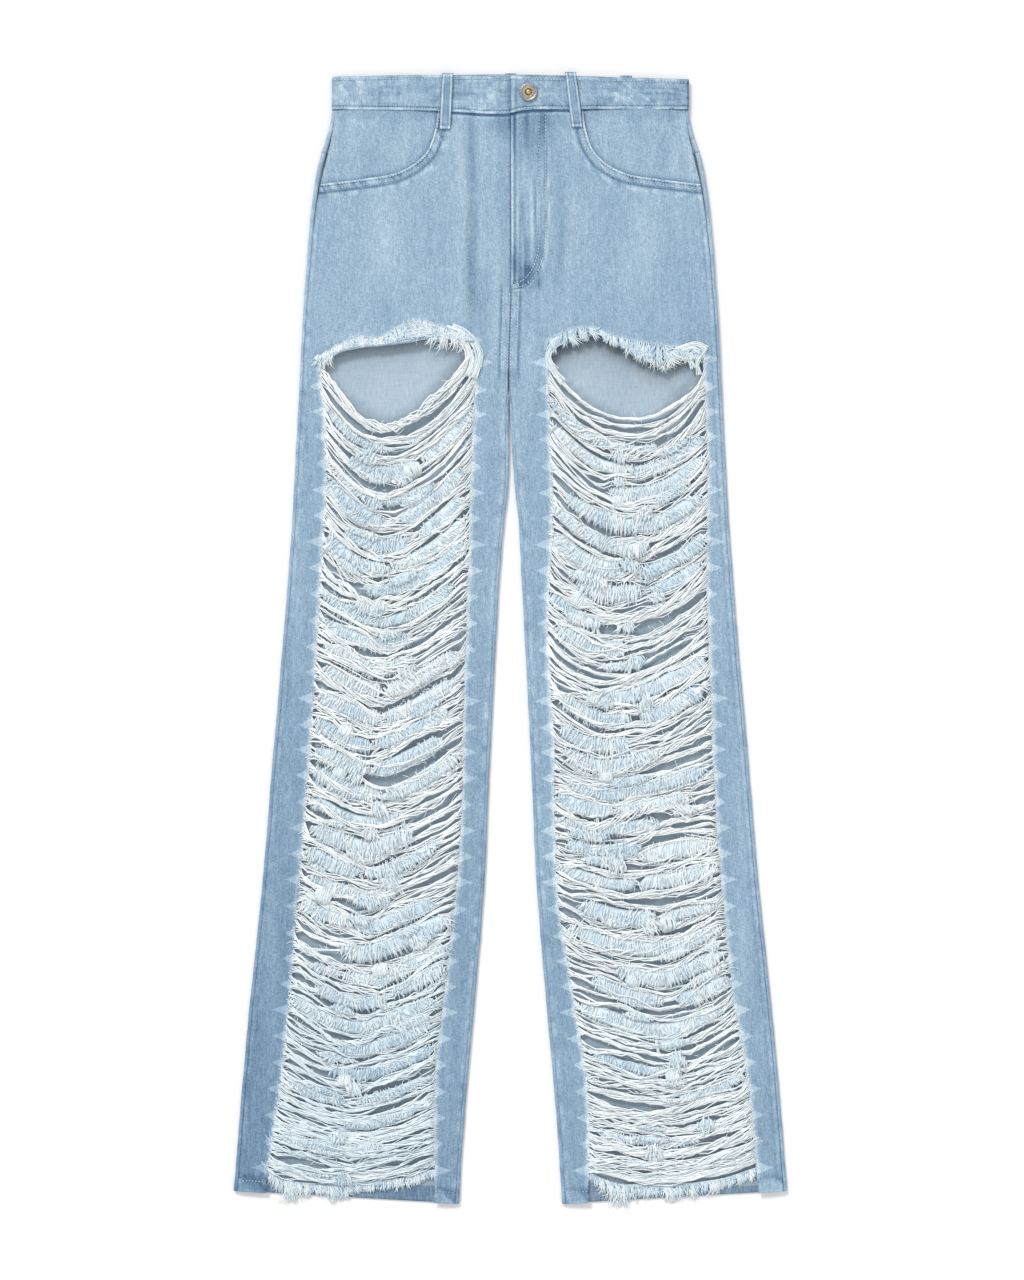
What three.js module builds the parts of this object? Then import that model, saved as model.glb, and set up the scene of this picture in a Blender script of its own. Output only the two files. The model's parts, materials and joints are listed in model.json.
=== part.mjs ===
// Ripped blue jeans laid flat with their front up: every cut piece of cloth is a thin wall.
// Millimetres. +Z is up from the surface they lie on, +Y runs from hems to waist,
// and +X is the wearer's left. u is a distance from the centre line towards either side.
import * as THREE from "three";

// Cloth thicknesses and clearances
const DENIM = 1.2; // one layer
const BAND = 2.2; // the waistband is two layers
const LOOP = 1.5; // a belt loop is folded cloth
const WEB = 1.4; // the frayed ladder of bare yarns
const FRINGE = 2.4; // loose hanging yarns, as the solid of their reach
const GAP = 0.3; // between two pieces at a seam
const CURVED_GAP = 0.8; // between two pieces whose facets follow a curve at different steps

// Levels along the body, as heights above and below the middle of the garment
const BAND_SIDE = 514; // lower edge of the waistband at the sides
const FLY_END = 341;
const CROTCH = 259;
const WRAP_END = 212; // below this the inner leg edges are fully wrapped
const WINDOW_END = -511; // the frayed windows run out through the front hem
const HEM_OUT = -532.5; // hem height at the outer corner
const HEM_IN = -545; // and at the inner corner
const HEM_BEND = -400; // rows above this level run straight across
const WEB_SPLIT = 190; // the sagging rows under the rip are a web of their own above this level

// Heights of the cloth above the surface
const LAYERS = 3.2; // from the back layer to the front layer at a folded edge
const CROWN = 1.2; // what the front rises inside its edges
const CROWN_REACH = 26;
const HIP_LIFT = 1.5; // the hips lie on the back pockets and back belt loops
const ROLL = LAYERS / 2; // radius of a folded edge
const ROLL_END = 0.5; // straight end of the back panel past the fold
const SEAM_INSET = DENIM / 2 + ROLL + ROLL_END + CURVED_GAP;
const WINDOW_COLUMNS = 6;
const WEB_DROP = 0.3; // the web lies this much lower in its window than the cloth around it
const RIP_FRINGE_RISE = 0.2;

// Soft standing creases of the hips: [x, low end, high end, width, height]
const CREASES = [[-40, 300, 520, 13, 1.6], [50, 315, 450, 12, 1.3], [-118, 330, 440, 16, 0.9], [128, 330, 430, 16, 0.9]];
const CREASE_RUN_OUT = 40; // a crease fades over this length at both ends

// Plan curves as [level, distance from the centre line]
const outerEdge = profile([
  [-545, 268.5], [-465, 262.4], [-348, 252.2], [-232, 240], [-115, 230.4], [1, 220.2],
  [117, 211.5], [234, 205.2], [350, 198], [437, 188], [467, 180.5], [507, 173], [548, 172.5],
]);
const innerEdge = profile([
  [-545, 50.5], [-465, 45.1], [-348, 34.4], [-232, 25.2], [-115, 19.9], [59, 10.7],
  [117, 6.8], [146, 3.4], [207, 0.7], [259, 0.5],
]);
const centreLine = profile([[60, 0], [150, 1.2], [207, -0.6], [259, -1.7], [341, 0.5], [514, 0.5]]);

// What differs between the two legs. The window is the frayed opening in the front panel: its
// long edges are [level, u], its cross edges are [share from outer to inner edge, level].
const LEGS = [
  {
    name: "right",
    sign: -1,
    windowOut: profile([[-560, 238], [-511, 234], [-423, 221], [-275, 207], [-126, 195], [30, 185], [190, 178], [270, 184]]),
    windowIn: profile([[-511, 74], [-423, 73], [-304, 60], [-200, 49], [-68, 45.5], [60, 41], [183, 38], [290, 33]]),
    cutEdge: profile([[0, 271], [0.23, 298], [0.63, 312], [0.9, 297], [1, 291]]),
    ripTop: profile([[0, 268.5], [0.14, 277], [0.5, 284], [0.74, 290], [0.9, 289], [1, 288.4]]),
    webTop: profile([[0, 265], [0.25, 230], [0.45, 219], [0.68, 241], [0.88, 279], [1, 285]]),
  },
  {
    name: "left",
    sign: 1,
    windowOut: profile([[-560, 241], [-511, 238], [-423, 229], [-348, 216], [-200, 201], [-81, 195], [75, 190], [160, 191], [280, 186]]),
    windowIn: profile([[-511, 76], [-437, 75], [-348, 61.6], [-244, 46], [-96, 42], [20, 36.5], [117, 41], [260, 37]]),
    cutEdge: profile([[0, 281], [0.31, 285], [0.57, 293], [0.73, 301], [0.93, 295], [1, 290]]),
    ripTop: profile([[0, 266], [0.1, 269], [0.26, 259], [0.48, 270], [0.69, 289], [0.81, 287], [1, 274]]),
    webTop: profile([[0, 263], [0.08, 263], [0.33, 222], [0.45, 218], [0.64, 229], [0.85, 250], [1, 271]]),
  },
];

// Scoop front pocket: its mouth runs from the waistband down and round to the side seam
const MOUTH = [[70, 511], [73, 494], [80.5, 474], [95.5, 460], [113, 452], [142, 447], [187, 442]];
const FACING_TUCK = 16; // how far the facing goes on under the front panel
const FACING_DROP = DENIM + GAP; // and how deep
const FACING_CLEAR = 6; // it stays that deep this far outside the mouth
const FACING_RISE = 24; // and comes up over this distance
const FACING_TAPER = 0.7; // the share of the tuck that is lost on the way to the side seam

// Waistband, as [x, level] edges of the front layer and the levels of the back layer
const bandLow = profile([[-172, 514], [-70, 512.5], [-2, 510], [12, 512.6], [60, 514], [172, 514]]);
const bandHigh = profile([[-172, 546], [-90, 547.5], [0, 546.3], [90, 545.5], [172, 543.5]]);
const backHigh = profile([[-172, 546], [0, 548.6], [172, 543.5]]);
const OVERLAP_X = 0.5; // the end of the wearer's left half, which lies on top
const UNDERLAP_X = 26;
const BAND_FLOOR = HIP_LIFT + 0.3; // under side of the back layer, on the back belt loops
const BAND_RISE = 3.3; // from the back layer to the front layer
const OVERLAP_RISE = 2.0; // what the overlap climbs over the underlap
const UNDERLAP_DROP = 0.5;

// Belt loops: [x at the top, top level, x at the foot, foot level]
const LOOP_WIDTH = 10.5;
const FRONT_LOOPS = { right: [-60.6, 549, -63.3, 494.7], left: [58, 550, 64.7, 496.6] };
const BACK_LOOPS = { right: [-112, 548, -112, 495], centre: [0, 550, 0, 495], left: [112, 548, 112, 495] };

// Back yoke and back pockets
const YOKE_CENTRE = 440;
const YOKE_SIDE = 474;
const YOKE_SIDE_U = 187;
const POCKET = { centre: 94, top: 408, width: 138, foot: 118, side: 128, point: 150 };

// Fly facing behind the wearer's left front
const FLY_WIDTH = 34;
const FLY_TOP = BAND_SIDE - 5;

// Shank button
const BUTTON = { x: 17.5, y: 530.5, radius: 8.7, rim: 1.6, dish: 1.0, hole: 3.1, post: 2.5 };
const BUTTON_SEGMENTS = 24;

const BLUE = { color: 0x9bb7cc, roughness: 0.92, metalness: 0 };
const DEEP_BLUE = { color: 0x8fadc6, roughness: 0.92, metalness: 0 };
const YARN = { color: 0xdfe7ee, roughness: 0.95, metalness: 0 };
const STEEL = { color: 0xb9b6ae, roughness: 0.38, metalness: 1 };
const BRASS = { color: 0xd0a552, roughness: 0.35, metalness: 1 };

// ---- helpers

function mix(a, b, t) {
  return a + (b - a) * t;
}

function ease(t) {
  return THREE.MathUtils.smoothstep(t, 0, 1);
}

// A smooth function through a few [input, value] pairs.
function profile(pairs) {
  const inputs = pairs.map((pair) => pair[0]);
  const values = pairs.map((pair) => pair[1]);
  const curve = new THREE.CubicInterpolant(inputs, values, 1, new Float32Array(1));
  return (t) => curve.evaluate(t)[0];
}

function steps(count) {
  return Array.from({ length: count + 1 }, (_, i) => i / count);
}

// Unit normals of a grid of points, from the differences to the neighbours of each.
function gridNormals(grid) {
  return grid.map((row, r) =>
    row.map((point, c) => {
      const along = new THREE.Vector3().subVectors(
        (grid[r + 1] ?? grid[r])[c],
        (grid[r - 1] ?? grid[r])[c],
      );
      const across = new THREE.Vector3().subVectors(row[c + 1] ?? point, row[c - 1] ?? point);
      return along.cross(across).normalize();
    }),
  );
}

// A closed wall of one thickness on a grid of middle points. keep(row, column) drops cells.
function wall(grid, thickness, keep = () => true) {
  const rows = grid.length;
  const columns = grid[0].length;
  const normals = gridNormals(grid);
  const positions = [];
  const faces = [];
  for (const side of [0.5, -0.5]) {
    grid.forEach((row, r) =>
      row.forEach((point, c) => {
        const corner = point.clone().addScaledVector(normals[r][c], side * thickness);
        positions.push(corner.x, corner.y, corner.z);
      }),
    );
  }
  const kept = (r, c) => r >= 0 && c >= 0 && r < rows - 1 && c < columns - 1 && keep(r, c);
  const upper = (r, c) => r * columns + c;
  const lower = (r, c) => rows * columns + r * columns + c;
  const quad = (a, b, c, d) => faces.push(a, b, c, a, c, d);
  for (let r = 0; r < rows - 1; r++) {
    for (let c = 0; c < columns - 1; c++) {
      if (!kept(r, c)) continue;
      quad(upper(r, c), upper(r + 1, c), upper(r + 1, c + 1), upper(r, c + 1));
      quad(lower(r, c), lower(r, c + 1), lower(r + 1, c + 1), lower(r + 1, c));
      if (!kept(r - 1, c)) quad(upper(r, c), upper(r, c + 1), lower(r, c + 1), lower(r, c));
      if (!kept(r + 1, c)) quad(upper(r + 1, c + 1), upper(r + 1, c), lower(r + 1, c), lower(r + 1, c + 1));
      if (!kept(r, c - 1)) quad(upper(r + 1, c), upper(r, c), lower(r, c), lower(r + 1, c));
      if (!kept(r, c + 1)) quad(upper(r, c + 1), upper(r + 1, c + 1), lower(r + 1, c + 1), lower(r, c + 1));
    }
  }
  const geometry = new THREE.BufferGeometry();
  geometry.setAttribute("position", new THREE.Float32BufferAttribute(positions, 3));
  geometry.setIndex(faces);
  return facingOut(geometry);
}

// Turns every face round where the surface encloses a negative volume.
function facingOut(geometry) {
  const position = geometry.getAttribute("position");
  const index = geometry.getIndex();
  const [a, b, c] = [new THREE.Vector3(), new THREE.Vector3(), new THREE.Vector3()];
  let volume = 0;
  for (let i = 0; i < index.count; i += 3) {
    a.fromBufferAttribute(position, index.getX(i));
    b.fromBufferAttribute(position, index.getX(i + 1));
    c.fromBufferAttribute(position, index.getX(i + 2));
    volume += a.dot(b.cross(c));
  }
  if (volume < 0) index.array.reverse();
  return geometry;
}

const jeans = new THREE.Group();

function addPiece(name, geometry, finish) {
  const mesh = new THREE.Mesh(geometry, new THREE.MeshStandardMaterial(finish));
  mesh.name = name;
  jeans.add(mesh);
}

// ---- shape of the garment

function hipLift(y) {
  return HIP_LIFT * ease((y - WRAP_END) / (CROTCH - WRAP_END));
}

// How far the cloth of a leg's inner edge is wrapped round from the back: 0 at the crotch.
function innerWrap(y) {
  return ease((CROTCH - y) / (CROTCH - WRAP_END));
}

function innerX(leg, y) {
  return centreLine(y) + leg.sign * innerEdge(y);
}

// Where the front panel ends at the side, and at the centre front or the inner leg seam.
function outerSeamX(leg, y) {
  return leg.sign * (outerEdge(y) - SEAM_INSET);
}

function innerSeamX(leg, y) {
  const edge = y >= CROTCH ? centreLine(y) + leg.sign * GAP / 2 : innerX(leg, y);
  return edge + leg.sign * SEAM_INSET * innerWrap(y);
}

function creaseHeight(x, y) {
  let height = 0;
  for (const [middle, low, high, width, rise] of CREASES) {
    const across = Math.exp(-(((x - middle) / width) ** 2));
    const along = ease((y - low) / CREASE_RUN_OUT) * ease((high - y) / CREASE_RUN_OUT);
    height += rise * across * along;
  }
  return height;
}

// Middle of the front layer above the surface.
function frontZ(leg, x, y) {
  const fromSide = Math.abs(x - outerSeamX(leg, y));
  const fromInside = Math.abs(x - innerSeamX(leg, y));
  const inside = mix(1, ease(fromInside / CROWN_REACH), innerWrap(y));
  const crown = CROWN * ease(fromSide / CROWN_REACH) * inside;
  return DENIM / 2 + LAYERS + hipLift(y) + crown + creaseHeight(x, y);
}

function hemLevel(u) {
  return mix(HEM_IN, HEM_OUT, (u - innerEdge(HEM_IN)) / (outerEdge(HEM_OUT) - innerEdge(HEM_IN)));
}

// Below HEM_BEND the straight rows tilt little by little into the slant of the hem.
function tiltedLevel(level, u) {
  if (level >= HEM_BEND) return level;
  return mix(HEM_BEND, hemLevel(u), (HEM_BEND - level) / (HEM_BEND - HEM_IN));
}

// ---- front panels

// A point of the pocket mouth and centre-front half of the waistband seam, t from side to centre.
function frontTop(leg, t) {
  const points = MOUTH.map(([u, y]) => new THREE.Vector3(leg.sign * u, y, 0)).reverse();
  points[0].x = outerSeamX(leg, points[0].y);
  const mouth = new THREE.CatmullRomCurve3(points, false, "centripetal");
  const waist = Math.abs(points.at(-1).x - innerSeamX(leg, BAND_SIDE));
  const split = mouth.getLength() / (mouth.getLength() + waist);
  if (t <= split) return mouth.getPointAt(t / split);
  const x = mix(points.at(-1).x, innerSeamX(leg, BAND_SIDE), (t - split) / (1 - split));
  return new THREE.Vector3(x, bandLow(x) - CURVED_GAP, 0);
}

function frontPanel(leg) {
  const OUTER = 2; // columns of cells in the outer strip, across the window and in the inner strip
  const ACROSS = WINDOW_COLUMNS;
  const INNER = 2;
  const HIP_ROWS = 7;
  const LEG_ROWS = 18;
  const columns = OUTER + ACROSS + INNER;
  const shareAt = (c, y) => {
    const side = outerSeamX(leg, y);
    const inside = innerSeamX(leg, y);
    const windowFrom = (leg.sign * leg.windowOut(y) - side) / (inside - side);
    const windowTo = (leg.sign * leg.windowIn(y) - side) / (inside - side);
    if (c <= OUTER) return mix(0, windowFrom, c / OUTER);
    if (c <= OUTER + ACROSS) return mix(windowFrom, windowTo, (c - OUTER) / ACROSS);
    return mix(windowTo, 1, (c - OUTER - ACROSS) / INNER);
  };
  const cutLevel = (c) => leg.cutEdge(THREE.MathUtils.clamp((c - OUTER) / ACROSS, 0, 1));
  const point = (share, y) => {
    const x = mix(outerSeamX(leg, y), innerSeamX(leg, y), share);
    return new THREE.Vector3(x, y, frontZ(leg, x, y));
  };
  const grid = [];
  for (const t of steps(HIP_ROWS)) {
    const row = [];
    for (let c = 0; c <= columns; c++) {
      const low = shareAt(c, cutLevel(c));
      const top = frontTop(leg, mix(low, c / columns, 0.5));
      const topShare = (top.x - outerSeamX(leg, top.y)) / (innerSeamX(leg, top.y) - outerSeamX(leg, top.y));
      row.push(point(mix(topShare, low, t), mix(top.y, cutLevel(c), t)));
    }
    grid.push(row);
  }
  for (const t of steps(LEG_ROWS).slice(1)) {
    const row = [];
    for (let c = 0; c <= columns; c++) {
      const level = mix(cutLevel(c), HEM_IN, t);
      const u = Math.abs(mix(outerSeamX(leg, level), innerSeamX(leg, level), shareAt(c, level)));
      const y = tiltedLevel(level, u);
      row.push(point(shareAt(c, y), y));
    }
    grid.push(row);
  }
  const keep = (r, c) => r < HIP_ROWS || c < OUTER || c >= OUTER + ACROSS;
  addPiece("front_" + leg.name, wall(grid, DENIM, keep), BLUE);
}

// ---- frayed windows: the web, the rolled fringe over the rip, and the fringe at the hem

// A cloth strip across the window between two edges given by share from outer to inner side.
function windowStrip(leg, topLevel, lowLevel, rows, rise) {
  return steps(rows).map((down) =>
    steps(WINDOW_COLUMNS).map((share) => {
      const y = mix(topLevel(share), lowLevel(share), down);
      const from = leg.windowOut(y) - CURVED_GAP;
      const to = leg.windowIn(y) + CURVED_GAP;
      const x = leg.sign * mix(from, to, share);
      return new THREE.Vector3(x, y, frontZ(leg, x, y) + rise);
    }),
  );
}

function webs(leg) {
  const upper = windowStrip(leg, leg.webTop, () => WEB_SPLIT, 3, -WEB_DROP);
  addPiece("web_upper_" + leg.name, wall(upper, WEB), YARN);
  const lower = windowStrip(leg, () => WEB_SPLIT - GAP, () => WINDOW_END, 12, -WEB_DROP);
  addPiece("web_" + leg.name, wall(lower, WEB), YARN);
}

function ripFringe(leg) {
  const top = (share) => leg.cutEdge(share) - CURVED_GAP;
  const grid = windowStrip(leg, top, leg.ripTop, 2, RIP_FRINGE_RISE);
  addPiece("rip_fringe_" + leg.name, wall(grid, FRINGE), YARN);
}

// The loose yarns at the hem hang past the edge of the back panel they lie on.
function hemFringe(leg) {
  const REACH = [[0, 22], [0.2, 33], [0.45, 41], [0.7, 36], [1, 20]];
  const reach = profile(REACH);
  const LYING = DENIM + GAP + FRINGE / 2;
  const grid = steps(3).map((down) =>
    steps(7).map((share) => {
      const y = WINDOW_END - GAP - reach(share) * down;
      const from = leg.windowOut(y) - CURVED_GAP;
      const to = leg.windowIn(y) + CURVED_GAP;
      const x = leg.sign * mix(from, to, share);
      return new THREE.Vector3(x, y, mix(frontZ(leg, x, y) - WEB_DROP, LYING, ease(down)));
    }),
  );
  addPiece("hem_fringe_" + leg.name, wall(grid, FRINGE), YARN);
}

// ---- back panels, yokes and back pockets

// The folded edge of the back cloth as [outwards, upwards] offsets from where it leaves the
// surface. curl is 1 for a half turn and 0 for cloth that lies flat.
function foldedEdge(curl) {
  const length = Math.PI * ROLL;
  const bend = Math.max(curl, 1e-3) / ROLL;
  const points = [0, 1 / 3, 2 / 3, 1].map((share) => {
    const angle = share * length * bend;
    return [Math.sin(angle) / bend, (1 - Math.cos(angle)) / bend];
  });
  const last = points.at(-1);
  const angle = length * bend;
  points.push([last[0] + ROLL_END * Math.cos(angle), last[1] + ROLL_END * Math.sin(angle)]);
  return points;
}

function foldStart(edge, curl) {
  const reach = Math.max(...foldedEdge(curl).map(([out]) => out));
  return edge - reach - (curl * DENIM) / 2;
}

// One row of back cloth from the outer fold to the inner fold. level(u) gives each point's y.
function backRow(leg, y, level, flatColumns, curl) {
  const z = DENIM / 2 + hipLift(y);
  const out = foldStart(outerEdge(y), 1);
  const inner = leg.sign * centreLine(y) + (y >= CROTCH ? GAP / 2 : innerEdge(y));
  const inn = -foldStart(-inner, curl);
  const row = [];
  const push = (u, rise) => row.push(new THREE.Vector3(leg.sign * u, level(u), z + rise));
  foldedEdge(1).reverse().forEach(([away, rise]) => push(out + away, rise));
  for (let c = 1; c < flatColumns; c++) push(mix(out, inn, c / flatColumns), 0);
  foldedEdge(curl).forEach(([away, rise]) => push(inn - away, rise));
  return row;
}

function yokeSeam(u) {
  return mix(YOKE_CENTRE, YOKE_SIDE, u / YOKE_SIDE_U);
}

function backPanel(leg) {
  const HIP = [440, 395, 345, 300, 270, CROTCH];
  const WRAPPING = [247, 235, 223, WRAP_END];
  const THIGH = [165, 115, 60, 0, -65, -130, -195, -260, -325, -390];
  const HEM = [-420, -450, -480, -512, HEM_IN];
  const grid = [...HIP, ...WRAPPING, ...THIGH, ...HEM].map((nominal) => {
    const rise = (nominal - CROTCH) / (YOKE_CENTRE - CROTCH);
    const level = (u) => (nominal > CROTCH ? mix(CROTCH, yokeSeam(u), rise) : tiltedLevel(nominal, u));
    const middle = level((outerEdge(nominal) + innerEdge(nominal)) / 2);
    return backRow(leg, middle, level, 3, innerWrap(middle));
  });
  addPiece("back_" + leg.name, wall(grid, DENIM), DEEP_BLUE);
}

function yoke(leg) {
  const grid = steps(2).map((up) => {
    const level = (u) => mix(yokeSeam(u) + GAP, BAND_SIDE - GAP, up);
    return backRow(leg, level(120), level, 4, 0);
  });
  addPiece("yoke_" + leg.name, wall(grid, DENIM), DEEP_BLUE);
}

function backPocket(leg) {
  const { centre, top, width, foot, side, point } = POCKET;
  const shape = new THREE.Shape();
  shape.moveTo(-width / 2, 0);
  shape.lineTo(-foot / 2, -side);
  shape.lineTo(0, -point);
  shape.lineTo(foot / 2, -side);
  shape.lineTo(width / 2, 0);
  shape.closePath();
  const geometry = new THREE.ExtrudeGeometry(shape, { depth: DENIM, bevelEnabled: false });
  geometry.translate(leg.sign * centre, top, 0);
  addPiece("back_pocket_" + leg.name, geometry, DEEP_BLUE);
}

// ---- front pocket facings and fly facing

function pocketFacing(leg) {
  const mouth = new THREE.CatmullRomCurve3(
    MOUTH.map(([u, y]) => new THREE.Vector3(leg.sign * u, y, 0)),
    false,
    "centripetal",
  );
  const corner = new THREE.Vector3(outerSeamX(leg, BAND_SIDE), BAND_SIDE, 0);
  const CORNER_SHARE = 0.5;
  const START_SHARE = 0.08; // keeps the first column from closing to a point
  const away = (share) => {
    const start = mouth.getPointAt(0);
    const end = mouth.getPointAt(1);
    if (share <= CORNER_SHARE) return start.clone().lerp(corner, mix(START_SHARE, 1, share / CORNER_SHARE));
    return corner.clone().lerp(end, (share - CORNER_SHARE) / (1 - CORNER_SHARE));
  };
  const under = (share) => {
    const point = mouth.getPointAt(share);
    const along = mouth.getTangentAt(share);
    const square = new THREE.Vector3(leg.sign * along.y, -leg.sign * along.x, 0);
    return point.addScaledVector(square, FACING_TUCK * (1 - FACING_TAPER * share));
  };
  const OUTWARDS = [-1, 0, 0.3, 0.6, 1];
  const grid = OUTWARDS.map((outwards) =>
    steps(8).map((share) => {
      const edge = mouth.getPointAt(share);
      const point = edge.clone().lerp(outwards < 0 ? under(share) : away(share), Math.abs(outwards));
      const clear = outwards < 0 ? 0 : edge.distanceTo(point) - FACING_CLEAR;
      point.x = leg.sign * Math.min(Math.abs(point.x), Math.abs(outerSeamX(leg, point.y)));
      point.y = Math.min(point.y, bandLow(point.x) - CURVED_GAP);
      point.z = frontZ(leg, point.x, point.y) - FACING_DROP * (1 - ease(clear / FACING_RISE));
      return point;
    }),
  );
  addPiece("pocket_facing_" + leg.name, wall(grid, DENIM), BLUE);
}

function flyFacing(leg) {
  const curve = profile([[0, FLY_WIDTH], [0.68, FLY_WIDTH], [0.86, FLY_WIDTH * 0.8], [1, FLY_WIDTH * 0.28]]);
  const grid = steps(8).map((down) =>
    steps(3).map((across) => {
      const y = mix(FLY_TOP, FLY_END, down);
      const x = mix(innerSeamX(leg, y), innerSeamX(leg, y) + curve(down), across);
      return new THREE.Vector3(x, y, frontZ(leg, x, y) - FACING_DROP);
    }),
  );
  addPiece("fly_facing", wall(grid, DENIM), BLUE);
}

// ---- waistband, belt loops and button

// Middle height of the band's front layer; under the overlap the other end dips.
function bandFrontZ(x, isOverlap) {
  const base = BAND_FLOOR + BAND / 2 + BAND_RISE;
  if (isOverlap) return base + OVERLAP_RISE * ease((52 - x) / 26);
  return base - UNDERLAP_DROP * ease((x + 14) / 14);
}

function waistband() {
  const radius = BAND_RISE / 2;
  const side = outerEdge(BAND_SIDE) - BAND / 2 - radius;
  const low = BAND_FLOOR + BAND / 2;
  const path = [];
  const LEFT_TO_RIGHT = [-140, -90, -45, 0, 45, 90, 140];
  [UNDERLAP_X, 12, 0, -14, -40, -80, -125].forEach((x) => path.push([x, bandFrontZ(x, false), 1]));
  for (const turn of steps(4)) {
    const angle = turn * Math.PI;
    path.push([-side - radius * Math.sin(angle), low + radius * (1 + Math.cos(angle)), 1 - turn]);
  }
  LEFT_TO_RIGHT.forEach((x) => path.push([x, low, 0]));
  for (const turn of steps(4)) {
    const angle = turn * Math.PI;
    path.push([side + radius * Math.sin(angle), low + radius * (1 - Math.cos(angle)), turn]);
  }
  [125, 80, 54, 46, 39, 32, 26, 13, OVERLAP_X].forEach((x) => path.push([x, bandFrontZ(x, true), 1]));
  const grid = steps(2).map((up) =>
    path.map(([x, z, front]) => {
      const y = mix(mix(BAND_SIDE, bandLow(x), front), mix(backHigh(x), bandHigh(x), front), up);
      return new THREE.Vector3(x, y, z);
    }),
  );
  addPiece("waistband", wall(grid, BAND), BLUE);
}

// A strip that lies on what is under it: heights are [share from top to foot, middle height].
function beltLoop(name, [topX, topY, footX, footY], heights) {
  const grid = heights.map(([share, z]) => {
    const x = mix(topX, footX, share);
    return [-1, 1].map((side) => new THREE.Vector3(x + (side * LOOP_WIDTH) / 2, mix(topY, footY, share), z));
  });
  addPiece("belt_loop_" + name, wall(grid, LOOP), BLUE);
}

function frontLoop(leg) {
  const place = FRONT_LOOPS[leg.name];
  const onBand = bandFrontZ(place[0], leg.sign > 0) + BAND / 2 + GAP + LOOP / 2;
  const onPanel = frontZ(leg, place[2], place[3]) + DENIM / 2 + GAP + LOOP / 2;
  const heights = [[0, onBand - 0.3], [0.08, onBand + 0.2], [0.35, onBand + 0.9], [0.62, onBand + 0.4]];
  beltLoop("front_" + leg.name, place, [...heights, [0.75, onBand + 0.1], [1, Math.max(onPanel, onBand - 0.6) + 0.4]]);
}

function backLoops() {
  const lying = LOOP / 2;
  for (const [name, place] of Object.entries(BACK_LOOPS)) {
    beltLoop("back_" + name, place, [[0, lying], [0.5, lying], [1, lying]]);
  }
}

function lathed(outline) {
  const points = outline.map(([radius, height]) => new THREE.Vector2(radius, height));
  const geometry = new THREE.LatheGeometry(points, BUTTON_SEGMENTS);
  geometry.rotateX(Math.PI / 2);
  return geometry;
}

function button() {
  const { x, y, radius, rim, dish, hole, post } = BUTTON;
  const seat = bandFrontZ(x, true) + BAND / 2 + GAP;
  const ring = lathed([
    [hole, 0], [radius - 0.9, 0], [radius, 0.7], [radius, rim], [radius - 0.7, rim + 0.5],
    [radius - 1.7, rim + 0.3], [radius - 2.4, dish], [hole + 1, dish], [hole, dish - 0.3], [hole, 0],
  ]);
  ring.translate(x, y, seat);
  addPiece("button_cap", ring, STEEL);
  const rivet = lathed([[0, 0], [post, 0], [post, dish + 0.2], [post * 0.6, dish + 0.9], [0, dish + 1.1]]);
  rivet.translate(x, y, seat);
  addPiece("button_rivet", rivet, BRASS);
}

// ---- assembly

for (const leg of LEGS) {
  frontPanel(leg);
  webs(leg);
  ripFringe(leg);
  hemFringe(leg);
  backPanel(leg);
  yoke(leg);
  backPocket(leg);
  pocketFacing(leg);
  frontLoop(leg);
}
flyFacing(LEGS[1]);
waistband();
backLoops();
button();

// The origin is under the middle of the whole, on the surface it lies on.
const bounds = new THREE.Box3().setFromObject(jeans);
const middle = bounds.getCenter(new THREE.Vector3());
jeans.position.set(-middle.x, -middle.y, -bounds.min.z);
jeans.updateMatrixWorld(true);

export default jeans;
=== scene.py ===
"""Ripped jeans laid flat: cloth, bare yarns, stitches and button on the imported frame.

Everything is worked out in millimetres in the drawing frame of the pattern, and becomes metres
when a mesh is made. +Z is up from the surface the jeans lie on, +Y runs from the hems to the
waist, and u is a distance from the centre line towards either side.
"""

import json
import math

import bpy
import numpy as np
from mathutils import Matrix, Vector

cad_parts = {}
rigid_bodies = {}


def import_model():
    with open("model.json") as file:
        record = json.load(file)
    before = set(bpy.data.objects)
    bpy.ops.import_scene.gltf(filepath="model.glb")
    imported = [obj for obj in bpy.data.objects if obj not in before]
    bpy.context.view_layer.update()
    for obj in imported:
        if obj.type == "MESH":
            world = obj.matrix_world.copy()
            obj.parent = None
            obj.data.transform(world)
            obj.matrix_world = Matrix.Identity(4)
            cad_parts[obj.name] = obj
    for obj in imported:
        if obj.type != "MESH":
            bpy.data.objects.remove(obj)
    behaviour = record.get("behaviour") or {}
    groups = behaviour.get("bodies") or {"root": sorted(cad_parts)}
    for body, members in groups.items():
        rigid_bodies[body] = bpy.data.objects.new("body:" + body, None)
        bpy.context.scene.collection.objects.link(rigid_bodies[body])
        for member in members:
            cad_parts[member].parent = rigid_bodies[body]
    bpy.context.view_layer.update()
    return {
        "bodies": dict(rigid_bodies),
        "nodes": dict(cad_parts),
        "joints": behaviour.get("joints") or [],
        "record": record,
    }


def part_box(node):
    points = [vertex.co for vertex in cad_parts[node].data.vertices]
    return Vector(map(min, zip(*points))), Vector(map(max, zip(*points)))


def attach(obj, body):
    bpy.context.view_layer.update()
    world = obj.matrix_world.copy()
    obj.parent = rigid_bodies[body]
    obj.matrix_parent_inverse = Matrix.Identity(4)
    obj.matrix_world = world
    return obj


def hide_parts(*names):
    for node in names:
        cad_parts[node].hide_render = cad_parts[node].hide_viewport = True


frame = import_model()

MM = 0.001
POCKET_TOP = 408  # level of the back pockets in the drawing frame
SHIFT = np.array([0.0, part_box("back_pocket_right")[1].y / MM - POCKET_TOP, 0.0])

# Cloth
DENIM = 1.2
BAND = 2.2
LOOP = 1.5

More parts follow.
